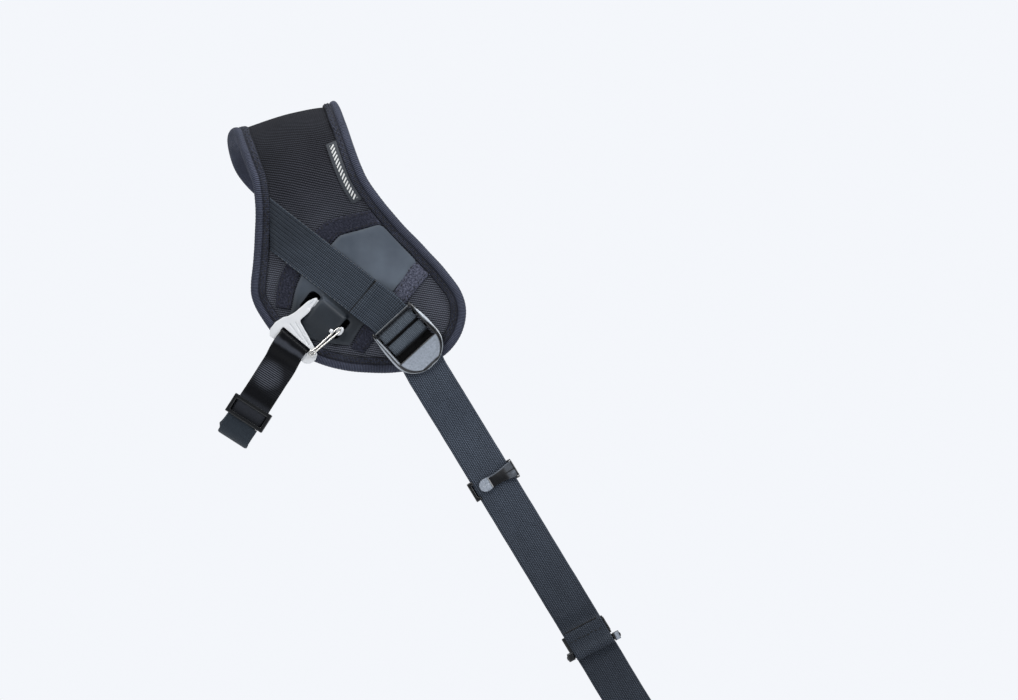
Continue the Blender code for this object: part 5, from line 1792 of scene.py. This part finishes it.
def skewed(rows):
    """The folded end sits a few degrees off square and a little further down."""
    moved = []
    for centre, across, normal in rows:
        along = float(np.dot(centre - BACK.origin, BACK.along))
        shift = float(np.interp(along, (150.0, 164.0, 167.0, 172.0, 190.0),
                                (0.0, 2.2, 3.7, 3.5, 1.5)))
        moved.append((centre + BACK.along * shift,
                      unit(lerp(across, TAIL_ACROSS, ramp(along, 152.0, 14.0))), normal))
    return moved


def build_tail():
    path = [(166.6, RETURN_OUT + 0.05), (168.0, OUTER_OUT + 0.1), (172.0, OUTER_OUT + 0.15),
            (176.0, OUTER_OUT + 0.1), (180.0, OUTER_OUT + 0.9),
            (TAIL_END - 1.2, SLIDE_OUT + SLIDE_LOOP - 0.15)]
    path += arc(TAIL_END, SLIDE_OUT, SLIDE_LOOP, start=80, end=-90, count=10)
    path += [(180.0, RETURN_OUT), (171.0, RETURN_OUT)]
    rows = back_rows((14.0, 20.0, 26.0, 32.0, 38.0, 80.0, 120.0, 160.0), tail_out)
    rows += skewed(ribbon_rows(BACK, path))
    tail = band("webbing_tail", rows, MAT["web"], step=0.9, cols=36, wander=0.05, seed=16)
    attach_between(tail, "tail_webbing",
                   start=BACK.at(22.0, 0, 3), end=BACK.at(158.0, 0, 3))
    across = unit(TAIL_ACROSS)
    stitches = [(BACK.at(170.6 + 0.07 * w, w, OUTER_OUT + 0.25), across,
                 unit(BACK.out - BACK.along * 0.8)) for w in spaced(-11.0, 11.1, 1.7)]
    sew("tail_fold_seam", stitches, "thread", "adjust_tail", "webbing",
        length=1.9, radius=0.42)
    out = OUTER_OUT + 0.1 + WEB_T / 2 + 0.08
    stitches = [(BACK.at(177.1 + 0.08 * w + 0.3 * math.sin(k * 2.1), w, out), across, BACK.out)
                for k, w in enumerate(spaced(-10.2, 10.6, 2.7))]
    sew("tail_second_seam", stitches, "thread", "adjust_tail", "webbing",
        length=1.7, radius=0.26)


def skew_slide(mesh):
    """Turn the slide with the folded end and slim the necks before its knobs."""
    points = read_points(mesh)
    along, across, out = BACK.local(points)
    centre = (along.min() + along.max()) / 2
    angle = math.radians(5.6)
    move_along = ((along - centre) * math.cos(angle) + across * math.sin(angle)
                  + centre - along + 1.3)
    move_across = across * math.cos(angle) - (along - centre) * math.sin(angle) - across
    width = np.abs(across + move_across)
    far = float(width.max())
    # neck from 12.9 to 15.2 is squeezed, the knob beyond stretched to keep its end
    slim = np.where(width < 12.9, width,
                    np.where(width < 15.2, 12.9 + (width - 12.9) * 0.42,
                             13.87 + (width - 15.2) * (far - 13.87) / (far - 15.2)))
    move_across = move_across + np.sign(across) * (slim - width)
    write_points(mesh, points + np.outer(move_along, BACK.along)
                 + np.outer(move_across, BACK.across))
    # painted highlight: the flat face of the knob on the across side is marked pale
    reach = np.abs(across)
    knob = ramp(reach, 15.3, 0.3) * ramp(reach, 17.2, -0.4)
    write_attr(mesh, 'plate', (knob * (out > out.max() - 1.2) * (across > 0) * 0.9).clip(0, 1))


build_tail()
cast("tail_slide_body", "tail_triglide", "adjust_tail", "lever", "gloss_black",
     voxel=0.3, smooth=5, finish=skew_slide)

# =====================================================================
# ladder buckle
# =====================================================================
BUCKLE_L, PLATE_START = 38.0, 22.0   # whole length; where the thumb plate starts to round
RAIL_IN = 13.4                       # inner face of the rails


def half_width(along):
    if along < PLATE_START:
        return 15.2 + 1.6 * math.sin(PI * 0.5 * along / PLATE_START)
    t = (along - PLATE_START) / (BUCKLE_L - PLATE_START)
    return 16.8 * math.sqrt(max(0.0, 1.0 - t ** 2.3))


def buckle_outline(inset):
    """Outline moved inwards, corners at the top rim rounded."""
    side = [(0.0, half_width(0) - 1.4), (0.12, half_width(0) - 0.8),
            (0.45, half_width(0) - 0.3)]
    stations = list(np.linspace(0.9, 34.0, 34)) + list(np.linspace(34.5, 37.9, 14))
    side += [(along, half_width(along)) for along in stations]
    curve = np.array([(along, -w) for along, w in side] + [(BUCKLE_L, 0.0)] + side[::-1])
    return curve + inward(curve) * inset


def plate_top(along):
    if along > 23.5:
        t = (along - 23.5) / 14.5
        return 18.35 - 1.1 * t * t - 0.4 * t
    return 18.35 - 0.25 * ramp(along, 4.0, -4.0)


def finish_buckle(mesh):
    """Dish the thumb plate, groove its border and mark where a painted reflection and painted
    highlights go.
    """
    points = read_points(mesh)
    along, across, out = BUCKLE.local(points)
    edge = np.array([half_width(min(max(place, 0.0), 37.95)) for place in along])
    dist = np.minimum(edge - np.abs(across), (BUCKLE_L - along) * 1.2)
    flat = ramp(along, 24.6, 0.8) * ramp(out, 16.6, 0.5) * ramp(dist, 2.4, 0.9)
    dish = 0.55 * flat * ramp(dist, 1.8, 5.0)
    groove = 0.28 * bell(dist, 1.75, 0.28) * ramp(out, 15.5, 0.6)
    write_points(mesh, points + np.outer(-dish, BUCKLE.out) + np.outer(-groove, BUCKLE.out))
    # painted reflection on the thumb plate
    write_attr(mesh, 'plate', flat)
    # painted highlights: thin bright lines along the rim that swell along the rails
    plus_w = 0.2 + 0.7 * bell(along, 13.0, 5.0)
    plus_side = bell(dist, 0.75, plus_w) * (across > 0) * ramp(along, 4.0, 3.0)
    minus_w = 0.2 + 0.4 * ramp(along, 6.0, 6.0) * ramp(along, 31.0, -6.0)
    minus_side = bell(dist, 0.55, minus_w) * (across < 0) * ramp(along, 1.5, 3.0)
    inner = bell(across, -14.2, 0.36) * ramp(along, 3.0, 2.0) * ramp(along, 25.5, -3.0)
    head = bell(along, 0.75, 0.5) * ramp(np.abs(across), 13.6, -1.5)
    lines = np.maximum.reduce([plus_side, minus_side, inner, head])
    write_attr(mesh, 'glint', (ramp(out, 15.3, 0.5) * (1 - flat) * lines).clip(0, 1))


def build_buckle():
    low = solid(*prism(BUCKLE, buckle_outline(0.0), 14.1, 16.2))
    outline = buckle_outline(1.15)
    upper = solid(*loft([[BUCKLE.at(s, w, 14.2) for s, w in outline],
                         [BUCKLE.at(s, w, plate_top(s)) for s, w in outline]]))
    # window, hollow under the plate, and under the top rim: along from, to, out from, to
    cuts = [solid(*block(BUCKLE, s0, s1, -RAIL_IN, RAIL_IN, out0, out1))
            for s0, s1, out0, out1 in ((2.1, 24.2, 8.0, 24.0), (23.0, 46.0, 8.0, 15.1),
                                       (-3.0, 3.0, 8.0, 16.9))]
    adds = [fuse("ladder_buckle_tmp", [low, upper], cuts, None, voxel=0.3, smooth=0)]
    for along in (UPPER_BAR, LOWER_BAR):
        bar = [BUCKLE.at(along, w, BAR_OUT) for w in (-14.8, -5, 5, 14.8)]
        adds.append(solid(*tube(bar, BAR_R, 20)))
    for w0, w1 in ((-15.1, -RAIL_IN), (RAIL_IN, 15.1)):
        adds.append(solid(*block(BUCKLE, 3.2, 20.0, w0, w1, 12.0, 14.8)))
    buckle = fuse("ladder_buckle_body", adds, [], MAT["buckle"], voxel=0.28, smooth=8,
                  finish=finish_buckle)
    attach(buckle, "ladder_buckle", "gloss_black", "ladder_buckle")


build_buckle()

# =====================================================================
# stoppers
# =====================================================================
# Cam lever stations, from its root to its tip:
# place across from the pin, half width, lower height, upper height.
LEVER = np.array([
    (1.25, 4.7, -0.2, 1.0), (0.9, 4.8, -0.7, 1.25), (0.4, 4.85, -1.05, 1.38),
    (-1.0, 4.9, -1.1, 1.5), (-2.6, 4.75, -0.7, 1.5), (-4.4, 4.45, -0.55, 1.42),
    (-6.6, 4.0, -0.5, 1.15), (-10.5, 3.55, -0.5, 0.85), (-13.8, 3.5, -0.45, 0.8),
    (-15.6, 3.62, -0.3, 0.95), (-16.2, 3.7, -0.25, 1.4), (-17.4, 3.95, -0.2, 1.55),
    (-19.0, 4.1, 0.0, 1.62), (-20.8, 3.75, 0.05, 1.55), (-22.0, 3.0, 0.15, 1.42),
    (-22.8, 1.9, 0.3, 1.2), (-23.1, 1.0, 0.45, 1.0)])
LEVER_COLS = 22


def build_lever(name, axes, pin_along, pin_across, pin_out):
    places = np.concatenate([np.linspace(a, b, 7)[:-1] for a, b in zip(LEVER[:-1, 0], LEVER[1:, 0])]
                            + [[LEVER[-1, 0]]])
    halves, lows, highs = (np.interp(places, LEVER[::-1, 0], LEVER[::-1, k]) for k in (1, 2, 3))
    for values in (halves, lows, highs):
        for _ in range(2):
            values[1:-1] = (values[:-2] + 2 * values[1:-1] + values[2:]) / 4
    verts, plate = [], []
    for place, half, low, high in zip(places, halves, lows, highs):
        tip = ramp(place, -16.0, -0.9)
        root = ramp(place, -6.0, 2.5)
        middle = (low + high) / 2
        top, bottom = [], []
        for j in range(LEVER_COLS + 1):
            x = -1 + 2 * j / LEVER_COLS
            edge = max(0.0, (abs(x) - 0.86) / 0.14)
            round_off = math.sqrt(max(0.0, 1 - edge * edge))
            share = 0.25 + 0.75 * round_off
            # centre groove at tip and root, shallow dish between
            groove = bell(x * half, 0.0, 0.22) * max(tip * ramp(place, -22.0, 1.0),
                                                     root * 0.8 * ramp(place, 0.9, -1.0))
            dish = (1 - tip) * (1 - root) * (1 - x * x)
            height = lerp(middle, high, share) - 0.22 * groove - 0.16 * dish
            along, across = pin_along + x * half, pin_across + place
            top.append(axes.at(along, across, pin_out + height))
            bottom.append(axes.at(along, across, pin_out + lerp(middle, low, share)))
            # painted highlights, stored in the 'plate' attribute: the tip, a thin line along one
            # edge and a streaky shine at the root
            rim_line = bell(x, -0.9, 0.09) * 0.55 * ramp(place, 0.8, -1.0)
            streak = 0.5 + 0.5 * bell(x, 0.35, 0.22) * ramp(place, -3.0, 2.0)
            root_shine = (root * 0.5 * streak * ramp(place, 0.6, -0.8)
                          * (1 - bell(x, 0.0, 0.1)))
            plate.append(min(1.0, max(tip * ramp(round_off, 0.2, 0.4), rim_line, root_shine)))
        plate += [0.0] * (LEVER_COLS + 1)
        verts += top + bottom[::-1]
    faces = skin(len(places), 2 * (LEVER_COLS + 1))
    lever = make(name, verts, faces, MAT["lever"], attrs={"plate": plate}, sharp=45)
    bm = bmesh.new()
    bm.from_mesh(lever.data)
    bmesh.ops.holes_fill(bm, edges=[e for e in bm.edges if e.is_boundary], sides=0)
    bmesh.ops.recalc_face_normals(bm, faces=bm.faces)
    bm.to_mesh(lever.data)
    bm.free()
    return lever


def build_stopper(prefix, axes, along, web_top, lever_body):
    """Channel, cam lever and hinge pin; web_top is the outer face of the webbing."""
    pin_across, pin_out = 14.0, web_top + 1.4
    cast(prefix + "_channel", prefix + "_frame", prefix, "gloss", "gloss_black",
         voxel=0.3, smooth=4)
    lever = build_lever(prefix + "_cam_lever", axes, along, pin_across, pin_out)
    attach(lever, lever_body, "gloss_black", prefix + "_lever")
    ends = [axes.at(along + x, pin_across, pin_out) for x in (-6.15, -6.05, -5.9, 5.9, 6.05, 6.15)]
    verts, faces = tube(ends, lambda t: 0.62 if 0.15 < t < 0.85 else 0.5, 16)
    pin = make(prefix + "_hinge_pin", verts, faces, MAT["steel"], sharp=40)
    attach(pin, prefix, "steel", prefix + "_pin")


FRONT = Axes(hip_point(0, FRONT_Y, HIP_SIDE), BACK.along, BACK.across, FORWARD)
build_stopper("rear_stopper", BACK, along=70.0,
              web_top=HANG_OUT + WEB_T / 2 + WEB_T + GAP + 0.1, lever_body="rear_lever")
build_stopper("front_stopper", FRONT, along=190.0, web_top=WEB_T / 2, lever_body="front_lever")

# =====================================================================
# carabiner and its wire gate
# =====================================================================
# Grooves in the outer face, on the carabiner's axes: start, end, width, depth.
CLIP_GROOVES = [((8.6, -6.6), (3.6, 8.0), 0.42, 0.42), ((6.0, -8.6), (3.4, 3.0), 0.38, 0.34),
                ((9.6, -5.0), (6.8, 2.4), 0.34, 0.26)]
# Outline of the arm's tip: along, across.
ARM_TIP = [(17.0, -10.1), (19.1, -9.8), (23.0, -9.15), (26.2, -7.9), (28.4, -6.1),
           (27.2, -5.2), (22.5, -5.1), (18.4, -4.7), (16.0, -5.0)]
CLIP_LOW, CLIP_HIGH = 11.2, 14.2                # inner and outer face
RIVET_ALONG, RIVET_ACROSS = 1.2, 12.6
QUARTERS = (0.0, 0.25, 0.5, 0.75, 1.0)


def segment_dist(x, y, start, end):
    edge = vec(*end) - vec(*start)
    t = np.clip(((x - start[0]) * edge[0] + (y - start[1]) * edge[1]) / (edge @ edge), 0, 1)
    return np.hypot(x - (start[0] + t * edge[0]), y - (start[1] + t * edge[1]))


def carve_clip(mesh):
    points = read_points(mesh)
    along, across, out = CLIP.local(points)
    depth = sum(bell(segment_dist(along, across, start, end), 0.0, width) * deep
                for start, end, width, deep in CLIP_GROOVES)
    write_points(mesh, points + np.outer(-depth * ramp(out, 13.4, 0.5), CLIP.out))


def build_carabiner():
    arm_tip = solid(*loft([
        [CLIP.at(a, b, 12.2) for a, b in ARM_TIP],
        [CLIP.at(a, b, CLIP_HIGH - 0.11 * max(0.0, a - 17.5)) for a, b in ARM_TIP]]))
    nose_knob = solid(*ellipsoid(CLIP.at(21.7, 16.8, 13.15), 2.9, 2.0, 1.2))
    nose_root = solid(*ellipsoid(CLIP.at(22.4, 16.2, 12.1), 1.6, 1.3, 0.85))
    cast("carabiner_body", "carabiner", "carabiner", "white", "white_cast",
         voxel=0.3, smooth=4, adds=[arm_tip, nose_knob, nose_root], finish=carve_clip)


def build_rivet():
    """Rivet with a raised head and a slanting slot."""
    head = solid(*tube([CLIP.at(RIVET_ALONG, RIVET_ACROSS, out) for out in (15.5, 16.2, 16.55)],
                       lambda t: 1.9 if t < 0.6 else 1.45, 20))
    slot_axes = Axes(CLIP.at(RIVET_ALONG, RIVET_ACROSS, 0), CLIP.along + CLIP.across * 0.8,
                     CLIP.across - CLIP.along * 0.8, CLIP.out)
    slot = solid(*block(slot_axes, -2.5, 2.5, -0.26, 0.26, 16.15, 18.0))
    cast("carabiner_rivet_head", "carabiner_rivet", "carabiner", "steel", "steel",
         voxel=0.16, smooth=3, adds=[head], cuts=[slot])


def build_gate():
    """Bent wire: an eye round the rivet, two legs and a rounded nose, with a white bead."""
    heading = unit(CLIP.at(20.6, 15.6, 0) - CLIP.at(RIVET_ALONG, RIVET_ACROSS, 0))
    sideways = np.cross(heading, REAR)
    pivot = CLIP.at(RIVET_ALONG, RIVET_ACROSS, CLIP_HIGH + 0.85)
    reach, eye_r = 21.0, 1.7

    def at(along, side):
        return pivot + heading * along + sideways * side

    angles = [math.radians(35 + 290 * i / 16) for i in range(17)]
    eye = [at(eye_r * math.cos(a), eye_r * math.sin(a)) for a in angles]
    leg_out = eye[-1] + heading * 2.5 + sideways * 0.2
    leg_back = eye[0] + heading * 2.5 - sideways * 0.2
    path = eye + [lerp(leg_out, at(reach - 1.2, -1.15), t) for t in QUARTERS]
    path += [at(reach + ahead, side) for ahead, side in (
        (-0.2, -1.12), (0.5, -0.85), (0.95, -0.3), (0.95, 0.3), (0.5, 0.85), (-0.2, 1.12))]
    path += [lerp(at(reach - 1.2, 1.15), leg_back, t) for t in QUARTERS]
    verts, faces = tube(spline_closed(path, 3), 0.52, 12, closed=True)
    count = len(verts)
    bead_at = pivot + heading * 17.6 + REAR * 0.65 + CLIP.across * -2.35
    bead_verts, bead_faces = ellipsoid(bead_at, 1.25, 1.25, 1.05)
    faces = faces + [tuple(i + count for i in face) for face in bead_faces]
    gate = make("carabiner_wire_gate", verts + bead_verts, faces, MAT["wire"])
    gate.data.materials.append(MAT["white"])
    for face in gate.data.polygons:
        if face.vertices[0] >= count:
            face.material_index = 1
    attach(gate, "carabiner_gate", "steel", "carabiner_gate")


build_carabiner()
build_rivet()
build_gate()

# =====================================================================
# underarm strap
# =====================================================================
OUTER_LAYER = CLIP_HIGH + GAP + WEB_T / 2 + 0.15
INNER_LAYER = CLIP_LOW - GAP - WEB_T / 2 - 0.15


def arm_rows(path):
    """Rows that turn from the carabiner's axes to the strap's as along goes negative."""
    rows = []
    for along, out, stretch, rise in strides(path):
        t = ramp(along, -4.0, -10.0)
        heading = unit(lerp(CLIP.along, -ARM.along, t))
        across = unit(lerp(CLIP.across, ARM.across, t))
        centre = lerp(CLIP.at(along, -0.15, out), ARM.at(-along, 0, out), t)
        rows.append((centre, across, heading * (-rise) + REAR * stretch))
    return rows


def arm_relief(along, across):
    """Cross ribs, creases and sag of the outer layer; along runs from the lower end up."""
    zone = ramp(along, 19.5, 3.0) * ramp(along, 42.0, -3.0)
    ribs = 0.2 * (np.abs(np.sin(PI * (ARM_FOLD - along) / 1.2)) ** 0.7 - 1.0)
    crease = (-0.4 * bell(along + across * 0.12, 44.5, 2.2)
              + 0.3 * bell(along + across * 0.05, 52.0, 1.8))
    sag = (-0.12 * np.sin(PI * np.clip((across + 10) / 20.0, 0, 1))
           * ramp(along, 10, 12.0) * ramp(along, 50, -8.0))
    return ribs * zone + crease * ramp(along, 50, -4.0) + sag


def build_arm_loop():
    """Webbing folded over the carabiner's bar: outer layer up, inner layer back down."""
    path = [(-56.8, 12.6), (-50.0, 12.6), (-44.0, 12.6), (-34.0, 12.6), (-26.5, 12.6),
            (-22.0, 12.75), (-15.5, 14.0), (-10.0, OUTER_LAYER), (-2.0, OUTER_LAYER),
            (-0.9, OUTER_LAYER - 0.15), (0.1, OUTER_LAYER - 0.75), (0.62, OUTER_LAYER - 1.7),
            (0.7, (OUTER_LAYER + INNER_LAYER) / 2), (0.62, INNER_LAYER + 1.7),
            (0.1, INNER_LAYER + 0.75), (-0.9, INNER_LAYER + 0.15), (-2.0, INNER_LAYER),
            (-10.0, INNER_LAYER), (-16.0, INNER_LAYER + 0.1), (-26.5, 11.05), (-44.0, 11.05),
            (-56.8, 11.05)]
    loop = band("underarm_loop_webbing", arm_rows(path), MAT["arm"], step=0.35, cols=26,
                wander=0.05, seed=18, width=ARM_W, thick=1.1, relief=arm_relief)
    attach(loop, "carabiner", "arm_webbing", "underarm_loop")


build_arm_loop()
cast("underarm_slider_body", "underarm_slider", "underarm_slider", "gloss", "gloss_black",
     voxel=0.28, smooth=8)

TURN_ALONG, REAR_BEND_R, FRONT_BEND_R = 57.5, 12.0, 34.0
RING_DIST, RING_L, RING_WIRE = 66.0, 9.0, 1.3   # ring past the bend, its length, wire radius


def arm_point(along, across, y):
    point = ARM.at(along, across, 0)
    point[1] = y
    return point


def strap_to_ring():
    """Rows from the slider forward under the arm and up; also the ring's axes."""
    rear_y = Y_BACK - 11.8
    rows = [(ARM.at(57.0, 0, 11.8), ARM.across, REAR)]
    for i in range(7):
        angle = math.radians(90.0 * i / 6)
        centre = arm_point(TURN_ALONG + REAR_BEND_R * math.sin(angle), -0.4 * i / 6,
                           rear_y + REAR_BEND_R - REAR_BEND_R * math.cos(angle))
        rows.append((centre, ARM.across,
                     ARM.along * math.sin(angle) - FORWARD * math.cos(angle)))
    for y, shift in ((-15.0, -1.6), (15.0, -4.0), (40.0, -6.0)):
        rows.append((arm_point(TURN_ALONG + REAR_BEND_R, shift, y), ARM.across, ARM.along))
    for i in range(8):
        angle = math.radians(80.0 * i / 7)
        along = TURN_ALONG + REAR_BEND_R - FRONT_BEND_R + FRONT_BEND_R * math.cos(angle)
        centre = arm_point(along, -6.6, 52.0 + FRONT_BEND_R * math.sin(angle))
        rows.append((centre, ARM.across,
                     ARM.along * math.cos(angle) + FORWARD * math.sin(angle)))
    angle = math.radians(80.0)
    heading = -ARM.along * math.sin(angle) + FORWARD * math.cos(angle)
    bend_end, _, normal = rows[-1]
    for dist in (25.0, 50.0, RING_DIST - 14.0):
        rows.append((bend_end + heading * dist, ARM.across, normal))
    return rows, Axes(bend_end + heading * RING_DIST, heading, ARM.across, normal)


STRAP_ROWS, RING = strap_to_ring()


def build_arm_strap():
    loop_r = RING_WIRE + 1.3 + WEB_T / 2
    path = [(-11.0, 0.2), (-7.5, 0.5), (-4.4, 2.2), (-1.6, loop_r - 0.1)]
    path += arc(0.0, 0.0, loop_r, start=85, end=-90, count=10)
    path += [(-4.0, -loop_r + 0.45), (-8.0, -1.6), (-22.0, -1.5)]
    strap = band("underarm_strap_webbing", STRAP_ROWS + ribbon_rows(RING, path),
                 MAT["arm_flat"], step=1.1, cols=20, wander=0.06, seed=19, width=ARM_W,
                 thick=1.15)
    start = ARM.at(58.0, 0, 12)
    attach_between(strap, "underarm_webbing",
                   start=start, end=start + vec(0, 70, 0))


def build_ring():
    """Rectangular ring with rounded corners."""
    half = ARM_W / 2 + 2.2
    corners = [vec(0.0, -half), vec(0.0, half), vec(RING_L, half), vec(RING_L, -half)]
    points = []
    for i, corner in enumerate(corners):
        before = unit(corners[i - 1] - corner)
        after = unit(corners[(i + 1) % 4] - corner)
        for t in np.linspace(0, 1, 7):
            along, across = corner + before * 2 * (1 - t) ** 2 + after * 2 * t ** 2
            points.append(RING.at(along, across, 0.0))
    ring = make("front_ring_loop", *tube(points, RING_WIRE, 16, closed=True), MAT["gloss"])
    attach(ring, "front_ring", "gloss_black", "front_ring")


def build_front_tab():
    """Tab from under the pad's front, looped round the ring."""
    loop_r = RING_WIRE + 0.35 + WEB_T / 2
    normal = pad_normal(-130.0)
    slope = np.cross(normal, PAD_SIDE)
    slope = slope if slope[2] < 0 else -slope
    across = unit(0.76 * PAD_SIDE + 0.65 * slope)
    rows = [(on_pad(side, run, -2.0), across, -normal)
            for side, run in ((13.5, -119.0), (7.0, -127.0), (0.5, -134.5))]
    path = [(RING_L + 7.0, -1.5), (RING_L + 4.5, -1.5), (RING_L + 2.9, -loop_r + 0.2)]
    path += arc(RING_L, 0.0, loop_r, start=275, end=90, count=10)
    path += [(RING_L + 2.4, loop_r - 0.1), (RING_L + 5.0, 0.1), (RING_L + 8.0, 0.1)]
    tab = band("front_tab_webbing", rows + ribbon_rows(RING, path), MAT["web"], step=0.8,
               cols=24, wander=0.03, seed=20, width=ARM_W)
    attach(tab, "pad", "webbing", "front_tab")


build_arm_strap()
build_ring()
build_front_tab()

# =====================================================================
# connector: its CAD castings, softened
# =====================================================================
# CAD node, body it rides, voxel size, smoothing passes, material, slot
for node, body, voxel, smooth, material, slot in (
        ("connector_carrier", "connector", 0.3, 4, "steel", "steel"),
        ("connector_hook", "connector_hook", 0.32, 4, "steel", "steel"),
        ("connector_gate_pin", "connector_hook", 0.16, 2, "steel", "steel"),
        ("connector_gate", "connector_gate", 0.26, 4, "steel", "steel"),
        ("connector_lock_sleeve", "connector_sleeve", 0.26, 4, "gloss", "gloss_black")):
    cast(node + "_body", node, body, material, slot, voxel, smooth)

# =====================================================================
# stage: pale floor, soft light, camera (metres)
# =====================================================================
BACKDROP = (0.905, 0.925, 0.965)
ROOM_LOW, ROOM_HIGH = 0.13, 0.36    # room light from below and from above
FLOOR_RADII = (0.5, 1.5, 5.0, 20.0, 60.0)
FLOOR_SIDES = 48


def mat_floor():
    """Pale floor that fades into the backdrop for the camera only."""
    shader = Shader("pale_floor")
    x, y, _ = shader.position()
    far = (x * x + y * y).pow(0.5).step(350.0, 1900.0)
    grain = shader.noise_2d(x, y, per_x=0.02, per_y=0.02, detail=3.0)
    seen = Value(shader, shader.node('ShaderNodeLightPath').outputs['Is Camera Ray'])
    shader.set(Base_Color=shader.mix(grain, (0.78, 0.795, 0.82), (0.82, 0.835, 0.86)),
               Roughness=0.8, Emission_Color=BACKDROP, Emission_Strength=seen * 0.42)
    glow = shader.node('ShaderNodeEmission')
    glow.inputs['Color'].default_value = (*BACKDROP, 1)
    blend = shader.node('ShaderNodeMixShader')
    shader.put(blend.inputs[0], far * seen)
    shader.link(shader.principled.outputs['BSDF'], blend.inputs[1])
    shader.link(glow.outputs[0], blend.inputs[2])
    shader.link(blend.outputs[0], shader.output.inputs['Surface'])
    return shader.done(BACKDROP)


def build_floor():
    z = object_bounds()[0].z - 0.004
    mesh = bpy.data.meshes.new("floor")
    bm = bmesh.new()
    centre = bm.verts.new((0, 0, z))
    angles = [2 * PI * j / FLOOR_SIDES for j in range(FLOOR_SIDES)]
    rings = [[bm.verts.new((r * math.cos(a), r * math.sin(a), z)) for a in angles]
             for r in FLOOR_RADII]
    for j in range(FLOOR_SIDES):
        bm.faces.new((centre, rings[0][j], rings[0][(j + 1) % FLOOR_SIDES]))
    for inner, outer in zip(rings[:-1], rings[1:]):
        for j in range(FLOOR_SIDES):
            j2 = (j + 1) % FLOOR_SIDES
            bm.faces.new((inner[j], outer[j], outer[j2], inner[j2]))
    bm.to_mesh(mesh)
    bm.free()
    floor = link_object("floor", mesh)
    mesh.materials.append(mat_floor())


def build_world():
    """Pale backdrop for the camera, a softer graded room for the light itself."""
    studio = bpy.data.worlds.new("studio")
    bpy.context.scene.world = studio
    studio.use_nodes = True
    nodes, link = studio.node_tree.nodes, studio.node_tree.links.new
    backdrop = nodes["Background"]
    backdrop.inputs[0].default_value = (*BACKDROP, 1)
    room = nodes.new('ShaderNodeBackground')
    room.inputs[0].default_value = (0.92, 0.95, 1.0, 1)
    direction = nodes.new('ShaderNodeTexCoord')
    split = nodes.new('ShaderNodeSeparateXYZ')
    grade = nodes.new('ShaderNodeMapRange')
    grade.inputs['From Min'].default_value = -0.6
    grade.inputs['From Max'].default_value = 1.0
    grade.inputs['To Min'].default_value = ROOM_LOW
    grade.inputs['To Max'].default_value = ROOM_HIGH
    light_path = nodes.new('ShaderNodeLightPath')
    blend = nodes.new('ShaderNodeMixShader')
    link(direction.outputs['Generated'], split.inputs[0])
    link(split.outputs[2], grade.inputs['Value'])
    link(grade.outputs[0], room.inputs[1])
    link(light_path.outputs['Is Camera Ray'], blend.inputs[0])
    link(room.outputs[0], blend.inputs[1])
    link(backdrop.outputs[0], blend.inputs[2])
    link(blend.outputs[0], nodes["World Output"].inputs[0])


def softbox(name, at, width, height, power, colour=(1, 1, 1)):
    """Rectangular light aimed at the middle of the strap's rear."""
    light = bpy.data.lights.new(name, 'AREA')
    light.shape = 'RECTANGLE'
    light.size = width
    light.size_y = height
    light.energy = power
    light.color = colour
    ob = link_object(name, light)
    ob.location = at
    ob.rotation_mode = 'QUATERNION'
    target = Vector(world((70.0, -50.0, -150.0)))
    ob.rotation_quaternion = (target - Vector(at)).to_track_quat('-Z', 'Y')
    ob.visible_camera = False


def build_camera():
    """Long lens looking straight at the rear."""
    scene = bpy.context.scene
    lens = bpy.data.cameras.new("camera")
    camera = link_object("camera", lens)
    camera.location = world((132.8, -2680.0, -133.0))
    camera.rotation_euler = (math.radians(90), 0, 0)
    lens.sensor_width = 36.0
    lens.lens = 156.306483
    lens.clip_start, lens.clip_end = 0.05, 200.0
    scene.camera = camera
    scene.view_settings.view_transform = 'Standard'
    scene.view_settings.look = 'None'
    scene.view_settings.exposure = 0.0


build_floor()
build_world()
softbox("key", (-0.9, -1.5, 1.1), width=0.8, height=0.8, power=13.0, colour=(1.0, 0.99, 0.97))
softbox("right_edge", (1.3, -0.7, 0.9), width=0.7, height=1.0, power=12.0,
        colour=(0.95, 0.97, 1.0))
softbox("top", (0.1, -0.1, 1.5), width=0.9, height=0.9, power=14.0)
softbox("low_left", (-1.2, -0.7, -0.9), width=0.6, height=0.9, power=8.0,
        colour=(0.97, 0.98, 1.0))
build_camera()
